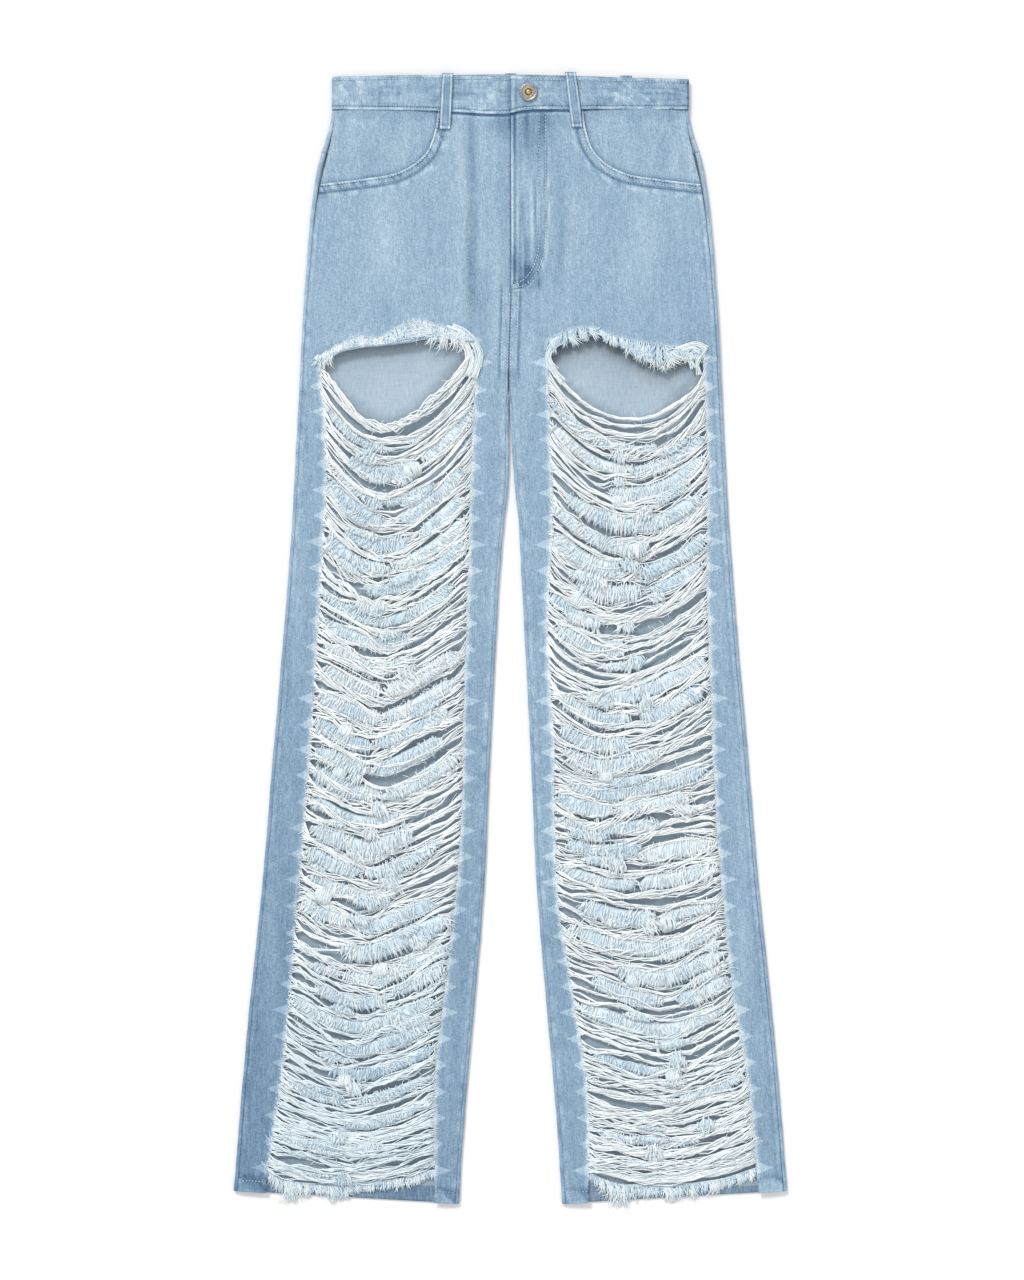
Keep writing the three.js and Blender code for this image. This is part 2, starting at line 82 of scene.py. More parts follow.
# Levels along the body
BAND_SIDE = 514
FLY_END = 341
CROTCH = 259
WRAP_END = 212
WINDOW_END = -511
RIP_LEVEL = 284
HEM_OUT = -532.5
HEM_IN = -545
HEM_BEND = -400
HEM_DEPTH = 12.5
PITCH = 25.2  # from one ladder row of the windows to the next

# Heights of the cloth above the surface
LAYERS = 3.2
CROWN = 1.2
CROWN_REACH = 26
SEAM_HOLD = 14  # how far a seam holds the cloth down
HIP_LIFT = 1.5
GAPE = 2.6
ROLL = LAYERS / 2
SEAM_INSET = DENIM / 2 + ROLL + 0.75
TUCK = [(0.4, 0.0), (1.1, 0.55), (2.0, 1.3)]  # (inwards, downwards) end of a fold under the front


NOISE_TABLE = (97, 89)  # random values along x and y before the noise repeats
TINY = 1e-9


# ---------------------------------------------------------------- number helpers


def profile(pairs):
    """A smooth function through a few (input, value) pairs, level outside them."""
    t = np.array([pair[0] for pair in pairs], float)
    v = np.array([pair[1] for pair in pairs], float)
    slope = np.diff(v) / np.diff(t)
    lean = np.concatenate([slope[:1], (slope[1:] + slope[:-1]) / 2, slope[-1:]])

    def at(x):
        x = np.clip(x, t[0], t[-1])
        i = np.clip(np.searchsorted(t, x, side="right") - 1, 0, len(t) - 2)
        h = t[i + 1] - t[i]
        p = (x - t[i]) / h
        ends = (2 * p**3 - 3 * p**2 + 1) * v[i] + (3 * p**2 - 2 * p**3) * v[i + 1]
        return ends + h * ((p**3 - 2 * p**2 + p) * lean[i] + (p**3 - p**2) * lean[i + 1])

    return at


def mix(a, b, t):
    return a + (b - a) * t


def ease(t):
    t = np.clip(t, 0, 1)
    return t * t * (3 - 2 * t)


def bump(x, middle, width):
    return np.exp(-(((x - middle) / width) ** 2))


def soft_noise(x, y, size, seed, stretch=1.0):
    """Smooth noise from -1 to 1, in lumps of about size mm, stretched along y."""
    wide, tall = NOISE_TABLE
    table = np.random.default_rng(seed).uniform(-1, 1, NOISE_TABLE)
    gx = np.asarray(x, float) / size + 10 * wide
    gy = np.asarray(y, float) / (size * stretch) + 10 * tall
    ix = np.floor(gx).astype(int)
    iy = np.floor(gy).astype(int)
    fx = ease(gx - ix)
    fy = ease(gy - iy)
    near = mix(table[ix % wide, iy % tall], table[(ix + 1) % wide, iy % tall], fx)
    far = mix(table[ix % wide, (iy + 1) % tall], table[(ix + 1) % wide, (iy + 1) % tall], fx)
    return mix(near, far, fy)


def unit(vectors):
    return vectors / np.maximum(np.linalg.norm(vectors, axis=-1, keepdims=True), TINY)


def path_lengths(path):
    """How far along a path each of its points is."""
    steps = np.linalg.norm(np.diff(path, axis=0), axis=1)
    return np.concatenate([[0], np.cumsum(steps)])


def along_path(path, at, wanted):
    """Points of a path at the wanted distances, where at holds its path_lengths."""
    return np.stack([np.interp(wanted, at, path[:, axis]) for axis in range(path.shape[1])], -1)


def spaced(stops):
    """Shares from 0 to 1 for (length, step) stretches laid end to end."""
    marks = [np.zeros(1)]
    at = 0.0
    for length, step in stops:
        count = max(1, round(length / step))
        marks.append(at + length * np.arange(1, count + 1) / count)
        at += length
    return np.concatenate(marks) / at


# ---------------------------------------------------------------- mesh helpers


def make_object(name, vertices, faces, materials, face_slots=None, **attributes):
    """A mesh object from points in millimetres and arrays of equal polygons."""
    mesh = bpy.data.meshes.new(name)
    corners = np.concatenate([f.ravel() for f in faces])
    sizes = np.concatenate([np.full(len(f), f.shape[1]) for f in faces])
    mesh.vertices.add(len(vertices))
    mesh.vertices.foreach_set("co", ((vertices + SHIFT) * MM).astype(np.float32).ravel())
    mesh.loops.add(len(corners))
    mesh.loops.foreach_set("vertex_index", corners.astype(np.int32))
    mesh.polygons.add(len(sizes))
    mesh.polygons.foreach_set("loop_start", (np.cumsum(sizes) - sizes).astype(np.int32))
    mesh.polygons.foreach_set("use_smooth", np.ones(len(sizes), bool))
    if face_slots is not None:
        slots = np.concatenate([np.full(len(f), s) for f, s in zip(faces, face_slots)])
        mesh.polygons.foreach_set("material_index", slots.astype(np.int32))
    mesh.update(calc_edges=True)
    for material in materials:
        mesh.materials.append(material)
    for key, values in attributes.items():
        layer = mesh.attributes.new(key, "FLOAT", "POINT")
        layer.data.foreach_set("value", np.asarray(values, np.float32).ravel())
    obj = bpy.data.objects.new(name, mesh)
    bpy.context.scene.collection.objects.link(obj)
    return obj


def grid_normals(grid):
    along = np.gradient(grid, axis=0)
    across = np.gradient(grid, axis=1)
    return unit(np.cross(along, across))


def shell(name, grid, thickness, materials, keep=None, outer=1, **attributes):
    """A closed thin wall on a grid of middle points. The first material is on the side that
    mostly faces up, or down where outer is -1, and the second, where given, on the other."""
    rows, columns = grid.shape[:2]
    normals = grid_normals(grid)
    if normals[..., 2].mean() * outer < 0:
        normals = -normals
    half = np.broadcast_to(np.asarray(thickness, float) / 2, (rows, columns))[..., None]
    sides = (grid + normals * half, grid - normals * half)
    vertices = np.concatenate([side.reshape(-1, 3) for side in sides])
    index = np.arange(rows * columns).reshape(rows, columns)
    kept = np.ones((rows - 1, columns - 1), bool) if keep is None else keep
    a, b = index[:-1, :-1], index[1:, :-1]
    c, d = index[1:, 1:], index[:-1, 1:]
    la, lb, lc, ld = (q + rows * columns for q in (a, b, c, d))
    padded = np.pad(kept, 1)
    edge_up = kept & ~padded[:-2, 1:-1]
    edge_down = kept & ~padded[2:, 1:-1]
    edge_left = kept & ~padded[1:-1, :-2]
    edge_right = kept & ~padded[1:-1, 2:]
    upper = np.stack([a, b, c, d], -1)[kept]
    lower = np.stack([la, ld, lc, lb], -1)[kept]
    rim = np.concatenate(
        [
            np.stack([a, d, ld, la], -1)[edge_up],
            np.stack([c, b, lb, lc], -1)[edge_down],
            np.stack([b, a, la, lb], -1)[edge_left],
            np.stack([d, c, lc, ld], -1)[edge_right],
        ]
    )
    faces = [upper, rim, lower]
    volume = 0.0
    for side in (upper, lower):
        first, second, third = (vertices[side[:, corner]] for corner in range(3))
        volume += np.einsum("ij,ij->", first, np.cross(second, third))
    if volume < 0:
        faces = [f[:, ::-1] for f in faces]
    both = {key: np.concatenate([np.ravel(v)] * 2) for key, v in attributes.items()}
    used = np.unique(np.concatenate([f.ravel() for f in faces]))
    renumber = np.full(len(vertices), -1)
    renumber[used] = np.arange(len(used))
    faces = [renumber[f] for f in faces]
    both = {key: v[used] for key, v in both.items()}
    slots = [0, 0, 1 if len(materials) > 1 else 0]
    return make_object(name, vertices[used], faces, materials, slots, **both)


def tubes(paths, width, height=None, sides=3):
    """Closed tubes along many paths of the same number of points. width and height give each
    tube's size at each point. A flat side faces up. Returns vertices and faces."""
    count, points = paths.shape[:2]
    height = width if height is None else height
    width = np.broadcast_to(np.asarray(width, float), (count, points))
    height = np.broadcast_to(np.asarray(height, float), (count, points))
    forward = unit(np.gradient(paths, axis=1))
    reference = np.zeros_like(forward)
    reference[..., 2] = 1.0
    steep = np.abs(forward[..., 2:3]) > 0.95
    reference = np.where(steep, np.array([1.0, 0.0, 0.0]), reference)
    side = unit(np.cross(forward, reference))
    up = np.cross(side, forward)
    angles = np.pi * (2 * np.arange(sides) + 1) / sides
    ring = (
        side[:, :, None] * (np.sin(angles)[:, None] * width[:, :, None, None] / 2)
        + up[:, :, None] * (np.cos(angles)[:, None] * height[:, :, None, None] / 2)
    )
    vertices = (paths[:, :, None] + ring).reshape(-1, 3)
    index = np.arange(count * points * sides).reshape(count, points, sides)
    after = np.roll(index, -1, axis=2)
    body = np.stack([index[:, :-1], index[:, 1:], after[:, 1:], after[:, :-1]], -1).reshape(-1, 4)
    ends = np.concatenate([index[:, 0], index[:, -1, ::-1]])
    return vertices, [body, ends]


def joined(parts):
    """Several (vertices, faces, tone) parts as one set of arrays."""
    vertices = []
    faces = {}
    tones = []
    offset = 0
    for part_vertices, part_faces, tone in parts:
        vertices.append(part_vertices)
        tones.append(np.broadcast_to(tone, len(part_vertices)))
        for f in part_faces:
            faces.setdefault(f.shape[1], []).append(f + offset)
        offset += len(part_vertices)
    faces = [np.concatenate(f) for f in faces.values()]
    return np.concatenate(vertices), faces, np.concatenate(tones)


def tube_part(paths, width, tone, height=None, sides=3):
    """Tubes with one tone each, ready to be joined."""
    vertices, faces = tubes(paths, width, height, sides)
    per_tube = paths.shape[1] * sides
    return vertices, faces, np.repeat(np.broadcast_to(tone, len(paths)), per_tube)


def finished(piece, slot, *nodes):
    """Hides the nodes of the frame that a piece stands for. slot, its material slot, is not used."""
    if nodes:
        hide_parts(*nodes)
    return piece


def joined_piece(name, parts, material, slot, *nodes):
    """One piece from (vertices, faces, tone) parts."""
    vertices, faces, tone = joined(parts)
    return finished(make_object(name, vertices, faces, [material], tone=tone), slot, *nodes)


# ---------------------------------------------------------------- materials


def linear(red, green, blue):
    """A scene colour from the usual 0 to 255 values."""
    value = np.array([red, green, blue]) / 255
    value = np.where(value <= 0.04045, value / 12.92, ((value + 0.055) / 1.055) ** 2.4)
    return (*value.tolist(), 1.0)


class Shader:
    """Short names for the nodes of one material."""

    def __init__(self, name):
        self.material = bpy.data.materials.new(name)
        self.material.use_nodes = True
        self.nodes = self.material.node_tree.nodes
        self.links = self.material.node_tree.links
        self.nodes.clear()
        self.output = self.nodes.new("ShaderNodeOutputMaterial")
        self.surface = self.nodes.new("ShaderNodeBsdfPrincipled")
        self.links.new(self.surface.outputs[0], self.output.inputs["Surface"])
        self.place = self.nodes.new("ShaderNodeTexCoord").outputs["Object"]

    def feed(self, socket, value):
        if isinstance(value, bpy.types.NodeSocket):
            self.links.new(value, socket)
        else:
            socket.default_value = value

    def math(self, operation, a, b=0.0):
        node = self.nodes.new("ShaderNodeMath")
        node.operation = operation
        self.feed(node.inputs[0], a)
        self.feed(node.inputs[1], b)
        return node.outputs[0]

    def scaled(self, vector, scale, turn=0.0):
        node = self.nodes.new("ShaderNodeMapping")
        node.inputs["Scale"].default_value = scale
        node.inputs["Rotation"].default_value = (0, 0, turn)
        self.links.new(vector, node.inputs["Vector"])
        return node.outputs[0]

    def noise(self, scale, detail, rough, turn=0.0):
        """Noise with features of 1/scale metres along each axis."""
        vector = self.place
        if turn:
            vector = self.scaled(vector, (1, 1, 1), turn)
        node = self.nodes.new("ShaderNodeTexNoise")
        node.inputs["Scale"].default_value = 1.0
        node.inputs["Detail"].default_value = detail
        node.inputs["Roughness"].default_value = rough
        self.links.new(self.scaled(vector, scale), node.inputs["Vector"])
        return node.outputs["Fac"]

    def spread(self, value, start, amount):
        """Values from start to 1 - start taken to -amount up to amount."""
        return self.range(value, start, 1 - start, -amount, amount)

    def grain(self, scale, detail, rough, start, amount):
        """Noise taken to -amount up to amount."""
        return self.spread(self.noise(scale, detail, rough), start, amount)

    def attribute(self, name):
        node = self.nodes.new("ShaderNodeAttribute")
        node.attribute_name = name
        return node.outputs["Fac"]

    def range(self, value, low, high, to_low=0.0, to_high=1.0, smooth=False):
        node = self.nodes.new("ShaderNodeMapRange")
        node.interpolation_type = "SMOOTHSTEP" if smooth else "LINEAR"
        self.feed(node.inputs["Value"], value)
        node.inputs["From Min"].default_value = low
        node.inputs["From Max"].default_value = high
        node.inputs["To Min"].default_value = to_low
        node.inputs["To Max"].default_value = to_high
        return node.outputs[0]

    def ramp(self, value, stops):
        node = self.nodes.new("ShaderNodeValToRGB")
        elements = node.color_ramp.elements
        while len(elements) < len(stops):
            elements.new(0.5)
        for element, (position, colour) in zip(elements, stops):
            element.position = position
            element.color = colour
        self.links.new(value, node.inputs[0])
        return node.outputs[0]

    def total(self, *terms):
        value = terms[0]
        for term in terms[1:]:
            value = self.math("ADD", value, term)
        return value

    def place_along(self, axis):
        node = self.nodes.new("ShaderNodeSeparateXYZ")
        self.links.new(self.place, node.inputs[0])
        return node.outputs[axis]

    def matt(self, colour, rough, shine):
        self.links.new(colour, self.surface.inputs["Base Color"])
        self.surface.inputs["Roughness"].default_value = rough
        self.surface.inputs["Specular IOR Level"].default_value = shine

    def bumps(self, height, distance, strength):
        node = self.nodes.new("ShaderNodeBump")
        node.inputs["Strength"].default_value = strength
        node.inputs["Distance"].default_value = distance
        self.links.new(height, node.inputs["Height"])
        self.links.new(node.outputs[0], self.surface.inputs["Normal"])


SPIKE_REACH = (9.0, 19.0)  # shortest and longest pale triangle, in mm
SPIKE_HALF_HEIGHT = 6.2
SPIKE_TONE = 0.22
HALO_TONE = 0.30


def faded_rows(shader):
    """The pale triangles that point away from a window edge at every ladder row, and the
    bleached cloth along that edge. edge is the distance from it in mm, row counts rows."""
    row = shader.attribute("row")
    edge = shader.attribute("edge")
    rank = shader.math("FLOOR", row)
    dice = shader.nodes.new("ShaderNodeTexWhiteNoise")
    dice.noise_dimensions = "1D"
    shader.links.new(rank, dice.inputs["W"])
    reach = shader.range(dice.outputs["Value"], 0, 1, *SPIKE_REACH)
    off_middle = shader.math("ABSOLUTE", shader.math("SUBTRACT", shader.math("FRACT", row), 0.5))
    aside = shader.math("DIVIDE", off_middle, SPIKE_HALF_HEIGHT / PITCH)
    slant = shader.math("DIVIDE", edge, reach)
    level = shader.total(aside, slant, shader.grain((500, 260, 500), 3, 0.5, 0.2, 0.11))
    inside = shader.range(level, 1.06, 0.88, smooth=True)
    beyond = shader.math("GREATER_THAN", edge, 0.0)
    spikes = shader.math("MULTIPLY", inside, beyond)
    halo_edge = shader.math("ADD", edge, shader.grain((220, 160, 220), 2, 0.5, 0, 2.5))
    halo = shader.range(halo_edge, 6.0, -0.5, smooth=True)
    return shader.total(shader.math("MULTIPLY", spikes, SPIKE_TONE), shader.math("MULTIPLY", halo, HALO_TONE))


DENIM_STOPS = [
    (0.0, linear(72, 100, 130)),
    (0.25, linear(112, 140, 165)),
    (0.5, linear(147, 173, 194)),
    (0.75, linear(186, 206, 220)),
    (1.0, linear(222, 232, 238)),
]
INSIDE_STOPS = [
    (0.0, linear(104, 133, 163)),
    (0.2, linear(140, 166, 189)),
    (0.35, linear(163, 183, 199)),
    (0.5, linear(171, 189, 203)),
    (1.0, linear(205, 217, 225)),
]
YARN_STOPS = [
    (0.0, linear(150, 182, 212)),
    (0.35, linear(200, 221, 235)),
    (0.7, linear(230, 242, 247)),
    (1.0, linear(251, 254, 254)),
]
HEM_FOLD = -0.5262  # metres: the back's turned hem starts here
TWILL_SLANT = math.radians(-52)
FALL = 0.30  # how much darker the hems are than the waist, at the wearer's right


def denim(name, shade=0.0, spikes=False, mottle=0.06):
    """Washed denim: upright slubs, heathered grain, a fine slanting weave, cloudy fading, paler
    where the wear attribute is high and darker where it is low. That attribute holds
    real wear, and also painted shade and painted highlight on the front, the waistband and the loops."""
    s = Shader(name)
    slub = s.grain((900, 110, 900), 4, 0.65, 0.3, 0.10)
    long_slub = s.grain((420, 14, 420), 2, 0.5, 0.3, 0.022)
    grain = s.grain((950, 620, 950), 2, 0.7, 0.3, 0.14)
    twill = s.noise((1050, 190, 1050), 1, 0.5, turn=TWILL_SLANT)
    cloud = s.grain((30, 13, 30), 3, 0.6, 0.3, 0.04)
    blotch = s.grain((240, 110, 240), 4, 0.65, 0.35, mottle / 2)
    low = s.range(s.place_along("Y"), 0.28, -0.55, 0, -FALL)
    side = s.range(s.place_along("X"), -0.25, 0.12, 1.0, 0.25)
    wear = s.math("MULTIPLY", s.attribute("wear"), 0.5)
    weave = s.total(slub, long_slub, grain, s.spread(twill, 0.35, 0.03))
    tone = s.total(wear, weave, cloud, blotch, s.math("MULTIPLY", low, side), 0.5 + shade)
    if spikes:
        tone = s.total(tone, faded_rows(s))
    s.matt(s.ramp(tone, DENIM_STOPS), 0.9, 0.25)
    s.surface.inputs["Sheen Weight"].default_value = 0.12
    rough = s.math("MULTIPLY", s.total(slub, grain), 3.0)
    s.bumps(s.total(s.math("MULTIPLY", twill, 0.8), rough), 0.0004, 0.7)
    return s.material


def denim_inside(name):
    """The wrong side of the cloth: pale weft with fine upright blue flecks, darkened by painted
    shade where the shade attribute is high.
    """
    s = Shader(name)
    fleck = s.grain((1300, 110, 1300), 3, 0.6, 0.35, 0.15)
    weft = s.grain((60, 1300, 60), 2, 0.6, 0.35, 0.08)
    grain = s.grain((1500, 900, 1500), 2, 0.6, 0.3, 0.08)
    cloud = s.grain((25, 16, 25), 2, 0.5, 0.3, 0.08)
    turned_hem = s.range(s.place_along("Y"), HEM_FOLD, HEM_FOLD - MM, 0, -0.36)
    tone = s.total(fleck, weft, grain, cloud, turned_hem, 0.5)
    # painted shade: the colour is scaled down to 0.4 of itself where the shade attribute is 1
    dimmed = s.nodes.new("ShaderNodeVectorMath")
    dimmed.operation = "SCALE"
    s.links.new(s.ramp(tone, INSIDE_STOPS), dimmed.inputs[0])
    s.links.new(s.range(s.attribute("shade"), 0, 1, 1.0, 0.4), dimmed.inputs["Scale"])
    s.matt(dimmed.outputs[0], 0.95, 0.2)
    s.bumps(s.total(s.math("MULTIPLY", fleck, 2.0), grain), 0.0003, 0.6)
    return s.material


def yarn(name):
    """Cotton yarn: white where tone is 1, faded blue where it is 0."""
    s = Shader(name)
    fibre = s.grain((1100, 1100, 1100), 3, 0.65, 0.3, 0.16)
    nick = s.range(s.noise((420, 620, 420), 2, 0.6), 0.30, 0.43, -0.26, 0.0)
    tone = s.total(s.attribute("tone"), fibre, nick)
    s.matt(s.ramp(tone, YARN_STOPS), 0.95, 0.15)
    return s.material


def metal(name, colour, rough, pitted):
    s = Shader(name)
    tarnish = s.noise((700, 700, 700), 4, 0.6)
    dark = tuple(channel * 0.35 for channel in colour[:3]) + (1.0,)
    s.links.new(s.ramp(tarnish, [(0.32, dark), (0.55, colour)]), s.surface.inputs["Base Color"])
    s.surface.inputs["Metallic"].default_value = 1.0
    s.links.new(s.range(tarnish, 0.3, 0.7, rough + 0.2, rough), s.surface.inputs["Roughness"])
    s.bumps(tarnish, pitted, 0.8)
    return s.material


DENIM_FRONT = denim("denim_front", spikes=True)
DENIM_PLAIN = denim("denim_plain")
DENIM_BAND = denim("denim_band", shade=0.03, mottle=0.14)
DENIM_TRIM = denim("denim_trim", mottle=0.2)
DENIM_INSIDE = denim_inside("denim_inside")
YARN = yarn("yarn")
THREAD = yarn("thread")


# ---------------------------------------------------------------- the garment's form

outer_edge = profile(
    [(-545, 268.5), (-465, 262.4), (-348, 252.2), (-232, 240), (-115, 230.4), (1, 220.2), (117, 211.5)]
    + [(234, 205.2), (350, 198), (437, 188), (467, 180.5), (507, 173), (548, 172.5)]
)
inner_edge = profile(
    [(-545, 50.5), (-465, 45.1), (-348, 34.4), (-232, 25.2), (-115, 19.9), (59, 10.7)]
    + [(117, 6.8), (146, 3.4), (207, 0.7), (259, 0.5)]
)
centre_line = profile([(60, 0), (150, 1.2), (207, -0.6), (259, -1.7), (341, 0.5), (514, 0.5)])

# Waistband edges as (x, level)
band_low = profile([(-172, 514), (-70, 512.5), (-2, 510), (12, 512.6), (60, 514), (172, 514)])
band_high = profile([(-172, 546), (-90, 547.5), (0, 546.3), (90, 545.5), (172, 543.5)])
back_high = profile([(-172, 546), (0, 548.6), (172, 543.5)])

# Front pocket mouth from the waistband to the side seam, as (u, level)
MOUTH = [(70, 513.5), (73, 494), (80.5, 474), (95.5, 460), (113, 452), (142, 447), (187, 442)]


def seam_puckers(along, seed, wave):
    """Small uneven waves along a sewn line."""
    broad = soft_noise(along, along * 0, wave, seed)
    narrow = soft_noise(along, along * 0, wave * 0.5, seed + 1)
    return 0.6 * broad + 0.4 * narrow


class Leg:
    """One side of the jeans. sign is the side of +X. The window's long edges are (level, u),
    and its cross edges are (share from the outer to the inner edge, level)."""

    def __init__(self, name, sign, window_out, window_in, cut_edge, rip_top, web_top):
        self.name = name
        self.sign = sign
        self.window_out = profile(window_out)
        self.window_in = profile(window_in)
        self.cut_edge = profile(cut_edge)
        self.rip_top = profile(rip_top)
        self.web_top = profile(web_top)

    def outer_wave(self, y):
        return 0.35 * seam_puckers(y, 101 + self.sign, 11.0)

    def inner_wave(self, y):
        return 0.35 * seam_puckers(y, 111 + self.sign, 11.0) * inner_wrap(y)

    def outer_seam(self, y):
        return self.sign * (outer_edge(y) + self.outer_wave(y) - SEAM_INSET)

    def inner_seam(self, y):
        in_edge = self.sign * (inner_edge(y) + self.inner_wave(y))
        edge = centre_line(y) + np.where(y >= CROTCH, self.sign * 0.05, in_edge)
        return edge + self.sign * SEAM_INSET * inner_wrap(y)

    def window_x(self, share, y):
        return self.sign * mix(self.window_out(y), self.window_in(y), share)

    def window_share(self, u, y):
        return (u - self.window_out(y)) / (self.window_in(y) - self.window_out(y))


RIGHT = Leg(
    "right",
    -1,
    window_out=[(-560, 238), (-511, 234), (-423, 221), (-275, 207), (-126, 195)]
    + [(30, 185), (190, 178), (270, 184)],
    window_in=[(-511, 74), (-423, 73), (-304, 60), (-200, 49), (-68, 45.5), (60, 41), (183, 38), (290, 33)],
    cut_edge=[(0, 271), (0.12, 283), (0.24, 293), (0.37, 292), (0.44, 297), (0.53, 304)]
    + [(0.63, 309), (0.76, 303), (0.9, 297), (1, 291)],
    rip_top=[(0, 268.5), (0.14, 279), (0.5, 286), (0.74, 292), (0.9, 289.5), (1, 288.4)],
    web_top=[(0, 265), (0.25, 230), (0.45, 219), (0.68, 241), (0.88, 279), (1, 285)],
)
LEFT = Leg(
    "left",
    1,
    window_out=[(-560, 241), (-511, 238), (-423, 229), (-348, 216), (-200, 201), (-81, 195)]
    + [(75, 190), (160, 191), (280, 186)],
    window_in=[(-511, 76), (-437, 75), (-348, 61.6), (-244, 46), (-96, 42), (20, 36.5), (117, 41), (260, 37)],
    cut_edge=[(0, 281), (0.31, 285), (0.57, 293), (0.73, 301), (0.93, 295), (1, 290)],
    rip_top=[(0, 268), (0.1, 272), (0.26, 262.5), (0.37, 267.5), (0.48, 276)]
    + [(0.6, 284), (0.69, 290), (0.81, 287), (1, 274)],
    web_top=[(0, 263), (0.08, 263), (0.33, 222), (0.45, 218), (0.64, 229), (0.85, 250), (1, 271)],
)
LEGS = (RIGHT, LEFT)


def hip_lift(y):
    return HIP_LIFT * ease((y - WRAP_END) / (CROTCH - WRAP_END))


def inner_wrap(y):
    return ease((CROTCH - y) / (CROTCH - WRAP_END))


# Soft standing creases of the front: (x, low end, high end, width, height)
CREASES = [
    (-47, 286, 540, 8, 0.9),
    (-36, 290, 530, 5, -1.9),
    (-26, 300, 530, 6, 0.5),
    (50, 318, 470, 4, -1.0),
    (58, 318, 470, 6, 0.7),
    (-120, 320, 470, 16, 1.0),
    (128, 320, 450, 18, 0.9),
    (-14, 262, 360, 6, 1.0),
    (-24, 262, 380, 6, -0.7),
    (18, 200, 330, 7, 0.8),
    (-205, -60, 190, 7, 0.7),
    (-232, -470, -90, 8, 0.8),
    (-62, -500, -240, 8, 0.7),
    (226, -470, -60, 9, 0.8),
    (205, -60, 200, 7, 0.7),
    (38, -250, 120, 7, 0.5),
]


CREASE_FADE = 50  # length over which a crease dies away at each end


def crease_height(x, y):
    height = 0.0
    for middle, low, high, width, rise in CREASES:
        wander = middle + 2.0 * soft_noise(y * 0 + middle, y, 60, 5)
        ends = ease((y - low) / CREASE_FADE) * ease((high - y) / CREASE_FADE)
        height = height + rise * bump(x, wander, width) * ends
    return height


def undulation(x, y):
    """The loose waves of cloth that lies on a flat surface, the same for both layers."""
    broad = 0.75 * soft_noise(x, y, 62, 11, 1.9)
    small = 0.32 * soft_noise(x, y, 21, 12, 2.4)
    return broad + small


def gape(leg, x, y):
    """How far the front layer stands up round the rip."""
    return GAPE * bump(y, RIP_LEVEL, 50) * bump(leg.window_share(leg.sign * x, y), 0.5, 0.55)


def front_z(leg, x, y):
    """Middle of the front layer above the surface."""
    from_side = np.abs(x - leg.outer_seam(y))
    from_inside = np.abs(x - leg.inner_seam(y))
    inside = mix(1, ease(from_inside / CROWN_REACH), inner_wrap(y))
    loose = ease(from_side / SEAM_HOLD) * mix(1, ease(from_inside / SEAM_HOLD), inner_wrap(y))
    level = DENIM / 2 + LAYERS + hip_lift(y) + CROWN * ease(from_side / CROWN_REACH) * inside
    return level + loose * (undulation(x, y) + crease_height(x, y)) + gape(leg, x, y)


def hem_level(u):
    inner = inner_edge(HEM_IN)
    return mix(HEM_IN, HEM_OUT, (u - inner) / (outer_edge(HEM_OUT) - inner))


def tilted_level(level, u):
    down = (HEM_BEND - level) / (HEM_BEND - HEM_IN)
    return np.where(level >= HEM_BEND, level, mix(HEM_BEND, hem_level(u), down))


def smooth_path(points, count):
    """count points evenly spaced on a smooth curve through a few points."""
    points = np.asarray(points, float)
    at = path_lengths(points)
    curves = [profile(list(zip(at, points[:, axis]))) for axis in range(points.shape[1])]
    fine = np.linspace(0, at[-1], 400)
    dense = np.stack([curve(fine) for curve in curves], -1)
    length = path_lengths(dense)
    return along_path(dense, length, np.linspace(0, length[-1], count))


def distance_to(path, x, y):
    """Distance in plan from each point to a path."""
    x = np.asarray(x)
    flat = np.stack([x.ravel(), np.broadcast_to(y, x.shape).ravel()], -1)
    nearest = np.full(len(flat), np.inf)
    for point in path[:, :2]:
        nearest = np.minimum(nearest, np.hypot(flat[:, 0] - point[0], flat[:, 1] - point[1]))
    return nearest.reshape(x.shape)


def mouth_path(leg, count):
    points = [(leg.sign * u, y) for u, y in MOUTH]
    points[-1] = (float(leg.outer_seam(np.array(MOUTH[-1][1]))), MOUTH[-1][1])
    return smooth_path(points, count)


# ---------------------------------------------------------------- front panels

FLY_STITCH = 34  # how far the fly's curved stitching runs from the edge
FLY_ROWS = 6.3  # between its two rows
MOUTH_BAND = 7.6  # width of the double-stitched pocket edge
MOUTH_STITCH = (1.7, 5.7)
FAR = 99.0  # a distance at which nothing shows


def fly_path(offset, count):
    """The J of the fly stitching, offset inwards, from the waistband to the fly's foot."""
    reach = FLY_STITCH - offset
    points = [(reach, 508), (reach, 450), (reach, 392), (reach * 0.93, 372)]
    points += [(reach * 0.7, 354 + offset * 0.5), (reach * 0.38, 344 + offset * 0.7)]
    points += [(3.5, FLY_END + 1 + offset * 0.8)]
    return smooth_path(points, count)


def seam_height(distance, wave):
    """A puckered ridge beside a seam, and the groove in it."""
    return bump(distance, 3.5, 4.0) * (0.15 + 0.30 * wave) - 0.25 * bump(distance, 0, 1.2)


